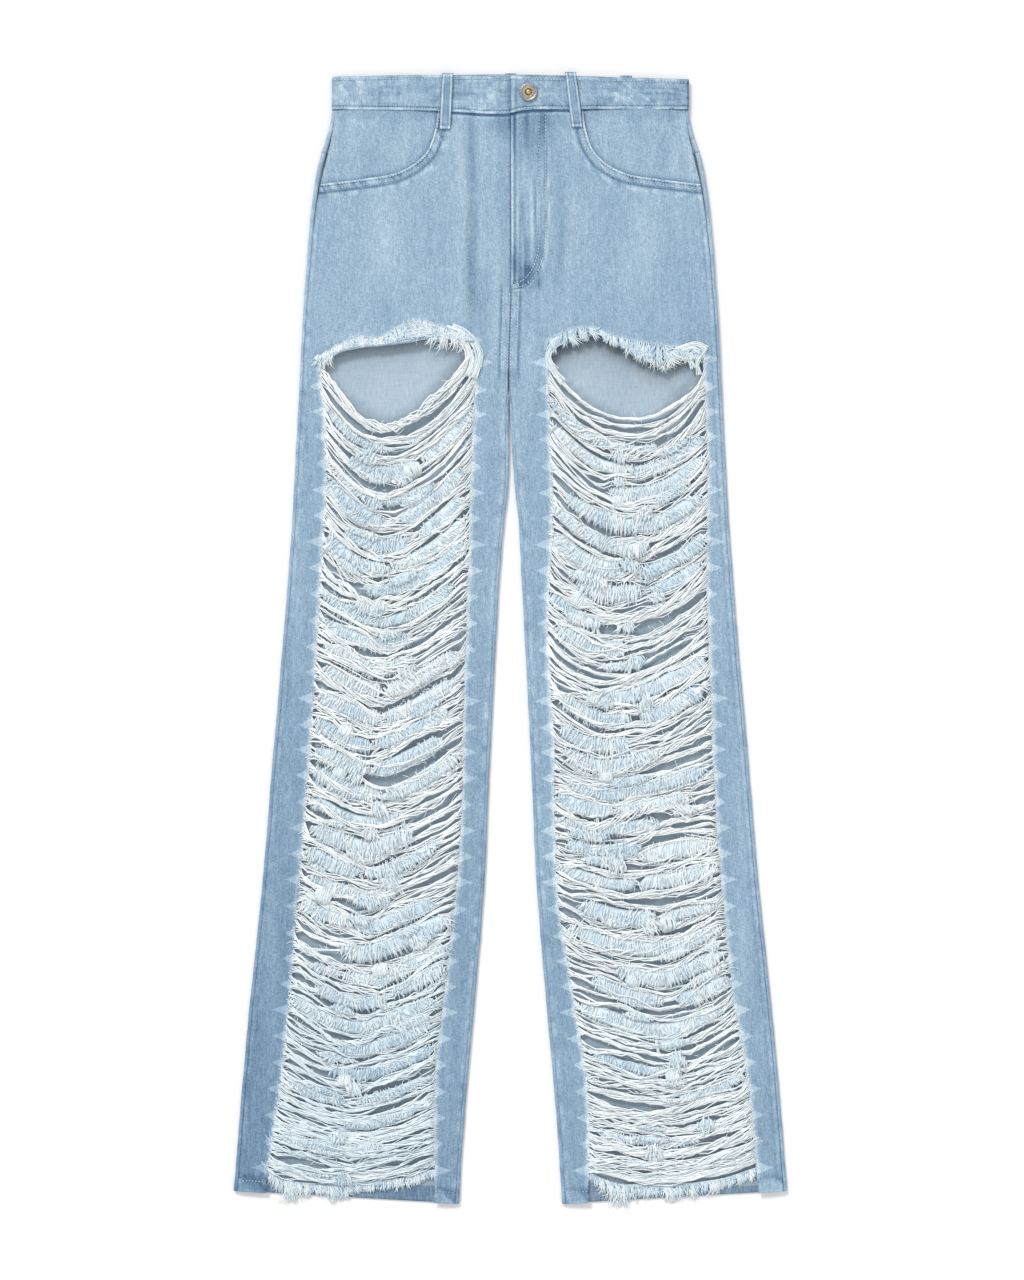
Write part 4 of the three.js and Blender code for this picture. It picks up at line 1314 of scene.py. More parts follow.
def seam_stitches():
    parts = []
    for leg in LEGS:
        mouth = mouth_path(leg, 200)
        tangent = unit(np.gradient(mouth, axis=0))
        into = leg.sign * np.stack([tangent[:, 1], -tangent[:, 0]], -1)
        for distance in MOUTH_STITCH:
            line = mouth + into * distance
            inside = np.abs(line[:, 0]) < np.abs(leg.outer_seam(line[:, 1])) - 1
            line = line[(line[:, 1] < 508) & inside]
            parts.append(stitches_on(on_front(leg, line), seed=int(distance * 10), tone=0.5))
        for first, last in ((leg.outer_seam, leg.window_out), (leg.window_in, leg.inner_seam)):
            ends = [float(np.abs(line(np.array(-530.0)))) for line in (first, last)]
            u = np.linspace(ends[0] - 1, ends[1] + 1, 30)
            plan = np.column_stack([leg.sign * u, hem_level(u) + HEM_DEPTH - 1.5])
            parts.append(stitches_on(on_front(leg, plan), seed=3, tone=0.35))
    for offset in (0.0, FLY_ROWS):
        parts.append(stitches_on(on_front(LEFT, fly_path(offset, 120)), seed=11 + int(offset), tone=0.5))
    y = np.linspace(FLY_END - 4, CROTCH + 4, 40)
    for side, leg in ((-7.2, RIGHT), (-1.2, RIGHT), (1.4, LEFT), (7.2, LEFT)):
        plan = np.column_stack([centre_line(y) + side, y])
        parts.append(stitches_on(on_front(leg, plan), seed=int(20 + side), tone=0.55))
    for leg in LEGS:
        start, stop = (-171, -2) if leg.sign < 0 else (OVERLAP_X + 3, 171)
        x = np.linspace(start, stop, 200)
        z = band_front_z(x, leg.sign > 0) + BAND / 2 + 0.12 + THREAD_LIFT
        for level in (band_high(x) - BAND_STITCH, band_low(x) + 2.6):
            parts.append(stitches_on(np.column_stack([x, level, z]), seed=30, tone=0.5))
    # the bar tack at the foot of the fly
    rows = np.linspace(-1.8, 1.8, 6)
    middle = centre_line(FLY_END + rows)
    height = rows * 0 + float(front_z(LEFT, np.array(5.0), np.array(FLY_END + 2.0))) + DENIM / 2 + 1.0
    ends = [np.column_stack([middle + dx, FLY_END + dy + rows, height]) for dx, dy in ((1, 2), (8, 3))]
    parts.append(tube_part(np.stack(ends, 1), 0.6, 0.3, 0.5, 4))
    return joined_piece("jeans_stitches", parts, THREAD, "denim")


# ---------------------------------------------------------------- bare yarns in the windows

ROWS = 31  # ladder rows from the rip to the hem
YARNS = 750
TUFTS = 7  # round ones in each window
YARN_RANK = profile([(0, 0), (0.39, 0.425), (0.78, 0.85), (1, 1)])  # the yarns lie closer near the hem
WINDOW_HEIGHT = 780
WINDOW_WIDTH = 155
LARGE_OPENING = 4
SAME_ROW = 0.02
HAIR_SPACING = 0.56
STEP_ALONG = 0.02  # share of the width over which a row's direction is taken
SMALL_OPENING = {"reach": (0.05, 0.15), "height": (0.9, 2.2)}
BIG_OPENING = {"reach": (0.14, 0.32), "height": (3.2, 5.6)}


def slack(w):
    """1 over most of a window, and less near the hem, where the rows are drawn tight."""
    return 1 - 0.6 * ease((w - 0.72) / 0.2)


def locks(along, sizes, rng):
    """Gathers hairs into locks from sizes[0] to sizes[1] mm wide. For each hair, the way to
    the middle of its lock, and a random number from -1 to 1 that the whole lock shares."""
    low, high = sizes
    start = along.min() - 1
    count = int((along.max() - start) / low) + 3
    marks = start + np.concatenate([[0], np.cumsum(rng.uniform(low, high, count))])
    number = np.searchsorted(marks, along, side="right") - 1
    middle = (marks[number] + marks[number + 1]) / 2
    return middle - along, rng.uniform(-1, 1, len(marks))[number]


class Web:
    """Where the yarns of one window run. s is the share from the window's outer to its inner
    edge, and w is 0 at the top row and 1 at the hem. sag, low_share, tilt and sharp are
    functions of w: how deep the rows hang, where they are lowest, what their outer end rises
    over the inner one, and how pointed the curve is (1 is a V, 2 or more a U). openings and
    partings are (share, rank, half of the width as a share, height) of gaps between the yarns.
    hem_darkness is how much darker the cloth is near the hem."""

    def __init__(self, leg, out_top, in_top, sag, low_share, tilt, sharp, openings, hem_darkness, seed):
        self.leg = leg
        self.out_top = out_top
        self.in_top = in_top
        self.sag = sag
        self.low_share = low_share
        self.tilt = tilt
        self.sharp = sharp
        self.hem_darkness = hem_darkness
        self.rng = np.random.default_rng(seed)
        self.seed = seed
        self.partings = list(openings)
        self.fixed = len(openings)
        self.lay_rows()

    def level(self, s, w):
        """Height along the leg of the undisturbed yarn w at share s across the window."""
        top = mix(self.out_top, self.in_top, s)
        lowest = self.low_share(w)
        aside = np.where(s < lowest, 1 - s / lowest, (s - lowest) / (1 - lowest))
        hang = 1 - np.clip(aside, 0, 1.1) ** self.sharp(w)
        return mix(top, WINDOW_END, w) - self.sag(w) * hang + self.tilt(w) * (0.5 - s)

    def settled(self, s, w):
        """Level once the yarns have parted around the strips and the openings."""
        y = self.level(s, w)
        for share, rank, half, height in self.partings:
            middle = self.level(s, rank)
            lens = np.clip(1 - ((s - share) / half) ** 2, 0, 1) ** 0.7
            away = np.abs(y - middle)
            y = y + np.sign(w - rank) * -height * lens * np.exp(-away / (1.5 * height + 3.0))
        return y

    def point(self, s, w, lift=0.0):
        y = self.settled(s, w)
        x = self.leg.window_x(s, y)
        return np.stack([x, y, front_z(self.leg, x, y) + lift], -1)

    # how much darker the tone is near the hem
    def hem_darkening(self, w):
        return self.hem_darkness * ease((w - 0.6) / 0.25)

    def bares(self, start, stop, rank):
        """Whether a strip would cover one of the large openings."""
        for share, middle, half, height in self.partings[: self.fixed]:
            beside = abs(rank - middle) < SAME_ROW
            over = start < share + 0.8 * half and stop > share - 0.8 * half
            if height > LARGE_OPENING and beside and over:
                return True
        return False

    def lay_rows(self):
        """Chooses where each row has frayed strips, patches and tufts and where the yarns part."""
        rng = self.rng
        self.strips = []
        for k in range(1, ROWS):
            w = (k + 0.45) / ROWS
            calm = slack(w) * (0.15 + 0.85 * ease((w - 0.035) / 0.05))
            for start, stop in STRIP_SPANS[int(rng.integers(len(STRIP_SPANS)))]:
                start = max(start + rng.uniform(-0.05, 0.03), 0.004)
                stop = min(stop + rng.uniform(-0.04, 0.05), 0.996)
                if rng.random() < 0.45 * ease((w - 0.8) / 0.1) or self.bares(start, stop, w):
                    continue
                height = rng.uniform(14.0, 20.5) * (0.4 + 0.6 * calm)
                rank = w + rng.uniform(-0.2, 0.2) / ROWS
                look = (rng.uniform(0.56, 0.76), rng.uniform(-0.8, 1.5))
                self.strips.append((start, stop, rank, height, *look))
                half = (stop - start) / 2 * 1.1
                self.partings.append(((start + stop) / 2, rank, half, height * rng.uniform(0.38, 0.5) * calm))
            if rng.random() < 0.7:
                # a ragged patch that lies over the ropes
                start = rng.uniform(0.02, 0.72)
                stop = start + rng.uniform(0.12, 0.27)
                rank = (k + rng.uniform(0, 1)) / ROWS
                height = rng.uniform(9, 14) * calm
                if not self.bares(start, stop, rank):
                    look = (rng.uniform(0.56, 0.8), rng.uniform(1.5, 2.6))
                    self.strips.append((start, stop, rank, height, *look))
            if rng.random() < 0.38:
                # a small tuft near the row's lowest point
                share = float(self.low_share(w) + rng.normal(0, 0.14))
                half = rng.uniform(0.045, 0.065)
                rank = w + rng.uniform(0.25, 0.7) / ROWS
                self.strips.append((share - half, share + half, rank, half * 330, rng.uniform(0.6, 0.8), 2.0))
                self.partings.append((share, rank, half * 1.3, 2.6))
            for _ in range(int(rng.integers(1, 3))):
                opening = BIG_OPENING if rng.random() < 0.5 else SMALL_OPENING
                share = rng.uniform(0.1, 0.9)
                half = min(rng.uniform(*opening["reach"]), share - 0.01, 0.99 - share)
                rank = (k + rng.choice([0.0, 0.06, 0.9, 0.96]) + rng.uniform(-0.05, 0.05)) / ROWS
                height = rng.uniform(*opening["height"]) * calm
                self.partings.append((share, float(np.clip(rank, 0.012, 0.97)), half, height))
        self.tufts = []
        for k in range(TUFTS):
            rank = 0.06 + 0.9 * (k + rng.uniform(0.1, 0.9)) / TUFTS
            share = float(self.low_share(rank) + rng.normal(0, 0.13))
            radius = rng.uniform(6.5, 9.5)
            self.tufts.append((share, rank, radius))
            self.partings.append((share, rank, 1.5 * radius / WINDOW_WIDTH, 0.45 * radius))


# Shares of the window's width that a row's strips can cover
STRIP_SPANS = [
    [(0.03, 0.66)],
    [(0.34, 0.97)],
    [(0.02, 0.44), (0.52, 0.97)],
    [(0.04, 0.94)],
    [(0.02, 0.38), (0.42, 0.86)],
    [(0.16, 0.62), (0.68, 0.98)],
    [(0.02, 0.48), (0.50, 0.98)],
]


def make_webs():
    right = Web(
        RIGHT,
        out_top=265,
        in_top=285,
        sag=profile(
            [(0, 57), (0.1, 50), (0.3, 37), (0.5, 33), (0.7, 30)]
            + [(0.82, 28), (0.92, 21), (0.97, 15), (1, 13)]
        ),
        low_share=profile([(0, 0.46), (0.6, 0.46), (1, 0.5)]),
        tilt=profile([(0, 0), (0.3, -4), (0.6, -6), (0.9, 0), (1, -5)]),
        sharp=profile([(0, 2.2), (0.12, 2.0), (0.3, 1.6), (0.8, 1.5), (1, 1.8)]),
        openings=[(0.77, 0.0103, 0.19, 3.4), (0.68, 0.0206, 0.2, 3.0), (0.24, 0.0206, 0.14, 0.8)],
        hem_darkness=0.24,
        seed=201,
    )
    left = Web(
        LEFT,
        out_top=263,
        in_top=271,
        sag=profile(
            [(0, 48), (0.2, 38), (0.36, 34), (0.5, 24), (0.57, 10)]
            + [(0.66, 24), (0.8, 27), (0.9, 19), (1, 14)]
        ),
        low_share=profile([(0, 0.5), (0.3, 0.56), (0.56, 0.7), (0.7, 0.5), (1, 0.5)]),
        tilt=profile([(0, 0), (0.2, 5), (0.32, 16), (0.46, 16), (0.58, 7), (0.66, 0), (0.8, 6), (1, 10)]),
        sharp=profile([(0, 2.2), (0.35, 1.9), (0.55, 1.6), (0.8, 1.5), (1, 1.8)]),
        openings=[(0.36, 0.042, 0.14, 3.4), (0.62, 0.031, 0.2, 1.6), (0.27, 0.286, 0.19, 5.5)]
        + [(0.27, 0.333, 0.19, 5.0), (0.30, 0.425, 0.18, 4.4)],
        hem_darkness=0.10,
        seed=202,
    )
    return right, left


def web_yarns(web):
    """The white weft yarns that still cross the window, slack and gathered in loose ropes that
    part, touch and cross."""
    leg, rng = web.leg, web.rng
    sizes = rng.choice([1, 2, 3, 4, 6, 8, 11], YARNS, p=[0.12, 0.16, 0.16, 0.16, 0.18, 0.13, 0.09])
    sizes[:3] = 8
    rope = np.repeat(np.arange(YARNS), sizes)[:YARNS]
    size = sizes[rope][:, None]
    overhang = rng.uniform(0.001, 0.018, (2, YARNS))
    s = mix(-overhang[0][:, None], 1 + overhang[1][:, None], np.linspace(0, 1, 22)[None])
    along = s * WINDOW_WIDTH
    own = YARN_RANK((np.arange(YARNS) + rng.uniform(-0.35, 0.35, YARNS)) / YARNS)
    middle = middle_of(rope, own)
    cluster = np.repeat(np.arange(YARNS), rng.integers(2, 5, YARNS))[: YARNS][rope]
    gathered = middle_of(cluster, own)
    mark = rope[:, None] * 37.0
    number = np.arange(YARNS)[:, None]
    free = ease(np.minimum(s, 1 - s) / 0.045)
    # the ropes' middles, drawn together in clusters
    drawn = 0.22 + 0.7 * soft_noise(along, cluster[:, None] * 37.0, 38, web.seed + 14)
    drawn = np.clip(drawn, 0, 0.8) * slack(middle)
    packed = web.settled(s, gathered) + (gathered - middle) * WINDOW_HEIGHT * 0.5
    y = mix(web.settled(s, middle), packed, drawn)
    crossing = rng.random(YARNS)[rope][:, None] < 0.34
    y = y + 1.9 * soft_noise(along, mark, 38, web.seed) + 1.5 * soft_noise(along, mark, 13, web.seed + 1)
    y = y + crossing * 7.5 * soft_noise(along, mark, 54, web.seed + 2)
    lift = rng.uniform(0.1, 2.2, YARNS)[rope][:, None] + 0.9 * soft_noise(along, mark, 40, web.seed + 3)
    lift = lift + crossing * 1.4
    # where each yarn lies in its rope
    radius = np.sqrt(size * rng.uniform(0.1, 1.0, YARNS)[:, None])
    radius = radius * (1 + 0.6 * soft_noise(along, mark, 24, web.seed + 4))
    pace = 2 * np.pi / rng.uniform(26, 70, YARNS)[rope][:, None]
    turn = rng.uniform(0, 2 * np.pi, YARNS)[:, None] + along * pace
    # how flat and wide each rope lies
    spread = rng.choice([0.55, 0.8, 1.15, 1.5], YARNS, p=[0.25, 0.25, 0.3, 0.2])[rope][:, None]
    y = y + spread * radius * np.cos(turn) + 1.0 * soft_noise(along, number * 5.1, 7, web.seed + 5)
    astray = (rng.random(YARNS) < 0.26)[:, None]
    y = y + astray * 3.4 * soft_noise(along, number * 9.7, 26, web.seed + 6)
    y = mix(web.level(s, own[:, None]), y, free)
    x = leg.window_x(s, y)
    z = front_z(leg, x, y) + mix(0.4, lift + 0.42 * radius * np.sin(turn), free)
    width = rng.uniform(0.95, 1.6, YARNS)[:, None] * (1 + 0.45 * soft_noise(along, y * 3, 6, web.seed + 7))
    width = width * mix(0.6, 1.0, free)
    # the yarns' tone is darker towards the hem
    tone = np.clip(rng.normal(0.95, 0.10, YARNS), 0.55, 1.0) - web.hem_darkening(own)
    return tube_part(np.stack([x, y, z], -1), width, tone, width * 0.9, 3)


def rope_fuzz(web):
    """Fibres that stand off the ropes and lie nearly along them."""
    rng = web.rng
    count = 420
    s = rng.uniform(0.02, 0.98, count)
    rank = rng.uniform(0.0, 0.99, count)
    base = web.point(s, rank)
    ahead = web.point(s + STEP_ALONG, rank) - base
    turn = np.arctan2(ahead[:, 1], ahead[:, 0]) + rng.normal(0, 0.45, count)
    paths = curls(base[:, 0], base[:, 1], turn, rng.normal(0, 1.0, count), rng.uniform(3, 8, count), 4)
    paths[..., 2] += base[:, 2:3] + rng.uniform(1.4, 3.2, (count, 1))
    return tube_part(paths, np.array([0.35, 0.6, 0.6, 0.3]), rng.uniform(0.7, 1.0, count), 0.4)


def middle_of(group, ranks):
    """For each yarn, the mean rank of its group."""
    return (np.bincount(group, ranks) / np.maximum(np.bincount(group), 1))[group][:, None]


def row_frame(web, s, rank):
    """Points of a row, and its directions along and across, upwards."""
    ranks = np.full(len(s), rank)
    base = web.point(s, ranks)
    forward = web.point(s + STEP_ALONG, ranks) - web.point(s - STEP_ALONG, ranks)
    forward[:, 2] = 0
    forward = unit(forward)
    across = np.stack([-forward[:, 1], forward[:, 0], forward[:, 0] * 0], -1)
    across *= np.sign(across[:, 1:2])
    return base, forward, across


def placed(frame, offsets, sideways, rise):
    """Points at offsets across a row and sideways along it, rise above it."""
    base, forward, across = frame
    points = base[:, None] + across[:, None] * offsets[..., None] + forward[:, None] * sideways[..., None]
    points[..., 2] += rise
    return points


def strip_hairs(web, start, stop, rank, height, tone, lifted):
    """A frayed blue strip: a woolly core under combed warp ends, which lie over one another in
    soft locks and hang over the lower edge. lifted raises it among the ropes."""
    rng = web.rng
    length = (stop - start) * WINDOW_WIDTH
    count = int(length / HAIR_SPACING)
    s = np.sort(rng.uniform(start, stop, count))
    along = s * WINDOW_WIDTH
    row = along * 0 + rank * 900
    gather, shared = locks(along, (1.8, 5.0), rng)
    size = height * (0.5 + 0.5 * ease(np.minimum(s - start, stop - s) / 0.045))
    ragged = 0.22 * soft_noise(along, row, 13, web.seed + 8)
    ragged = ragged + 0.28 * soft_noise(along, row, 34, web.seed + 10)
    size = size * (1 + ragged)
    hangs = rng.random(count) < 0.6
    first = np.where(hangs, rng.uniform(-0.12, 0.28, count), rng.uniform(0.28, 0.54, count))
    reach = -0.56 * (1 + 0.22 * shared) * rng.uniform(0.75, 1.12, count)
    last = np.where(hangs, reach, rng.uniform(-0.3, 0.0, count))
    q = mix(first[:, None], last[:, None], np.array([0, 0.5, 1])[None])
    sway = 3.2 * soft_noise(along, row, 17, web.seed + 9) + 1.2 * shared
    wild = rng.normal(0, 1, (count, 1)) * np.where(rng.random((count, 1)) < 0.22, 2.8, 0.7)
    sideways = 0.8 * gather[:, None] * np.clip(0.45 - q, 0, 1) + sway[:, None] * (0.1 - q) * 1.7
    sideways = sideways + wild * np.array([-1, 0.3, 1])[None] + rng.normal(0, 0.42, (count, 3))
    rise = 0.4 + lifted + 2.4 * np.sqrt(np.clip(1 - (q / 0.6) ** 2, 0, 1)) + rng.normal(0, 0.34, (count, 1))
    frame = row_frame(web, s, rank)
    width = rng.uniform(0.9, 1.5, count)[:, None] * np.array([0.7, 1.0, 0.45])[None]
    patch = 0.16 * soft_noise(along, row, 9, web.seed + 11) + 0.04 * shared
    # the strip's tone is darker towards the hem
    hem_darkened = tone + 0.03 - 0.6 * web.hem_darkening(rank)
    tones = np.clip(hem_darkened + patch + rng.normal(0, 0.075, count), 0.1, 1.0)
    hairs = tube_part(placed(frame, q * size[:, None], sideways, rise), width, tones, width * 0.8)
    # the core under them
    s = np.linspace(start + 0.015, stop - 0.015, 12)
    bed = np.zeros((12, 1))
    core = placed(row_frame(web, s, rank), bed, bed, 0.8 + 0.6 * lifted)[None, :, 0]
    ends = 0.25 + 0.75 * ease(np.minimum(s - start, stop - s) / 0.06)
    return [hairs, tube_part(core, height * 0.80 * ends, tone - 0.14, 2.0 * ends, 6)]


def round_tuft(web, share, rank, radius):
    """A bulging round tuft of warp ends, gathered at its top and foot."""
    rng = web.rng
    count = 60
    aside = rng.uniform(-1, 1, count)[:, None]
    down = np.array([0.95, 0.4, -0.35, -0.95])[None] * radius * rng.uniform(0.85, 1.05, (count, 1))
    sideways = aside * radius * np.array([0.4, 1.0, 1.0, 0.5])[None] + rng.normal(0, 0.5, (count, 4))
    rise = 1.0 + 3.2 * np.sqrt(np.clip(1 - aside**2, 0, 1)) * np.array([0.5, 1, 1, 0.35])[None]
    rise = rise + rng.normal(0, 0.3, (count, 1))
    width = rng.uniform(0.9, 1.5, count)[:, None] * np.array([0.7, 1.0, 1.0, 0.5])[None]
    tones = np.clip(0.76 + rng.normal(0, 0.09, count), 0.1, 1)
    frame = row_frame(web, np.full(count, share), rank)
    return tube_part(placed(frame, down, sideways, rise), width, tones, width * 0.8)


def ties(web):
    """Twisted yarns that have slipped and run across the rows near their lowest points."""
    rng = web.rng
    count, strands, points = 8, 6, 8
    t = np.linspace(0, 1, points)[None]
    w = rng.uniform(0.05, 0.93, (count, 1)) + t * rng.uniform(0.016, 0.034, (count, 1))
    start = web.low_share(w[:, :1]) + rng.normal(0, 0.13, (count, 1))
    s = start + 0.03 * soft_noise(w * WINDOW_HEIGHT, start * 500, 11, web.seed + 13)
    s = np.clip(s + rng.normal(0, 0.06, (count, 1)) * t, 0.03, 0.97)
    middle = np.repeat(web.point(s, w, 1.9), strands, axis=0)
    turn = np.tile(np.arange(strands) * np.pi / 3, count)[:, None]
    turn = turn + t * rng.uniform(4, 9, (count * strands, 1))
    middle[..., 0] += 1.35 * np.cos(turn) * (1 - 0.4 * (2 * t - 1) ** 2)
    middle[..., 2] += 0.9 * np.sin(turn) - 2.2 * (2 * t - 1) ** 6
    return tube_part(middle, 0.95, rng.uniform(0.75, 1.0, count * strands), 0.85)


def loose_ends(web):
    """Fine curls over the rows, and fuzz along the window's long edges."""
    leg, rng = web.leg, web.rng
    count = 220
    s = rng.uniform(0.0, 1.0, count)
    w = rng.uniform(0.0, 0.99, count)
    base = web.point(s, w, 0.0)
    turn = rng.uniform(0, 2 * np.pi, count)
    paths = curls(base[:, 0], base[:, 1], turn, rng.normal(0, 1.5, count), rng.uniform(3, 12, count), 5)
    paths[..., 2] += base[:, 2:3] + rng.uniform(0.8, 2.4, (count, 1))
    parts = [tube_part(paths, 0.5, rng.uniform(0.75, 1.0, count), 0.4)]
    for edge, side in ((leg.window_out, -1), (leg.window_in, 1)):
        count = 260
        y = rng.uniform(WINDOW_END, 262, count)
        u = edge(y) - side * rng.uniform(-1.0, 1.6, count)
        on_spike = bump(ladder_row(y, side > 0) % 1, 0.5, 0.14)
        away = 0.0 if side * leg.sign < 0 else np.pi
        turn = away + rng.normal(0, 0.9, count)
        length = rng.uniform(1.5, 4.2, count) * (1 + 1.1 * on_spike)
        paths = curls(leg.sign * u, y, turn, rng.normal(0, 0.9, count), length, 4)
        lift = front_z(leg, leg.sign * u, y) + DENIM / 2 + 0.05
        paths[..., 2] += lift[:, None] + np.linspace(0.0, 0.5, 4)[None] * rng.uniform(0.2, 1.4, (count, 1))
        parts.append(tube_part(paths, 0.6, rng.uniform(0.35, 0.9, count), 0.4))
    return parts


def curls(x, y, turn, curl, length, points):
    """Level arcs that start at (x, y), point along turn and bend by curl radians."""
    t = np.linspace(0, 1, points)[None]
    heading = turn[:, None] + curl[:, None] * t
    step = length[:, None] / (points - 1)
    px = x[:, None] + np.cumsum(np.cos(heading) * step, 1) - np.cos(heading[:, :1]) * step
    py = y[:, None] + np.cumsum(np.sin(heading) * step, 1) - np.sin(heading[:, :1]) * step
    return np.stack([px, py, px * 0], -1)


def build_web(web):
    name = web.leg.name
    parts = [web_yarns(web), rope_fuzz(web), ties(web), *loose_ends(web)]
    yarns = joined_piece("jeans_yarns_" + name, parts, YARN, "yarn", "web_" + name, "web_upper_" + name)
    parts = []
    for strip in web.strips:
        parts += strip_hairs(web, *strip)
    parts += [round_tuft(web, *tuft) for tuft in web.tufts]
    return [yarns, joined_piece("jeans_strips_" + name, parts, YARN, "yarn")]


# ---------------------------------------------------------------- fringes over the rips

TORN_LENGTH = 150  # rough length of a torn edge, for noise along it
ROLL_HEIGHT = 16.5
# How long the roll's ends are along the edge
ROLL_ENDS = profile([(0, 0.8), (0.2, 0.9), (0.36, 0.75), (0.46, 0.95), (0.62, 1.2), (0.76, 1.1), (1, 0.8)])


def skein(leg, route, width, count, rng, tone, lift, thick, fray):
    """A loose bundle of twisted yarns along a route, frayed at its far end by fray mm."""
    points = 18
    t = np.linspace(0, 1, points)[None]
    centre = smooth_path(route, points)
    tangent = unit(np.gradient(centre, axis=0))
    normal = np.stack([-tangent[:, 1], tangent[:, 0]], -1)
    radius = np.sqrt(rng.uniform(0.1, 1, count))[:, None]
    turn = rng.uniform(0, 2 * np.pi, count)[:, None] + t * rng.uniform(1.0, 3.0, (count, 1))
    across = radius * np.cos(turn) * np.interp(t, [0, 0.15, 0.8, 1], [0.6, 1, 1, 0.7]) * width / 2
    across = across + rng.normal(0, 1, (count, 1)) * fray * t**3
    across = across + 0.3 * soft_noise(t * 60, np.arange(count)[:, None] * 7.0, 9, 330)
    x = centre[None, :, 0] + normal[None, :, 0] * across
    y = centre[None, :, 1] + normal[None, :, 1] * across
    rise = thick * (0.5 + 0.5 * radius * np.sin(turn)) * np.sin(np.pi * (0.12 + 0.76 * t))
    z = front_z(leg, x, y) + lift + rise
    return tube_part(np.stack([x, y, z], -1), 0.95, np.clip(rng.normal(tone, 0.09, count), 0, 1), 0.85)


def hairs_from(leg, s, y, turn, curl, length, heights, rng, width, tone, uneven, points, gather=0.0):
    """Curling hairs that start on the cloth at share s and level y and gather towards their
    lock's middle. heights give their rise from root to tip, and uneven how much tones differ."""
    count = len(s)
    x = leg.window_x(s, y)
    turn = turn + gather * leg.sign * np.sign(np.sin(turn)) * 0.85 / length
    paths = curls(x, y, turn, curl, length, points)
    t = np.linspace(0, 1, points)
    rise = np.interp(t, np.linspace(0, 1, len(heights)), heights)[None]
    paths[..., 2] = front_z(leg, x, y)[:, None] + rise + rng.normal(0, 0.28, (count, 1))
    taper = np.interp(t, [0, 0.3, 1], [0.8, 1, 0.5])[None]
    tones = np.clip(tone + rng.normal(0, uneven, count), 0.02, 1)
    return tube_part(paths, width * taper, tones, 0.8 * width * taper)


def short_runs(lanes, runs, points, lowest, highest, scatter, rng):
    """Overlapping runs of yarn side by side along a torn edge: for each run, the shares of its
    points and its offset across the edge."""
    start = np.arange(runs) / runs - 0.02 + rng.uniform(-0.05, 0.05, (lanes, runs))
    s = (start[..., None] + np.linspace(0, 1.4 / runs, points)).reshape(-1, points)
    offset = np.linspace(lowest, highest, lanes)[:, None] + rng.normal(0, scatter, (lanes, runs))
    return s, offset.reshape(-1, 1)


def skeins(leg, routes, rng, *shape):
    """Several bundles, from (route, width, number of yarns, tone)."""
    return [skein(leg, route, width, number, rng, tone, *shape) for route, width, number, tone in routes]


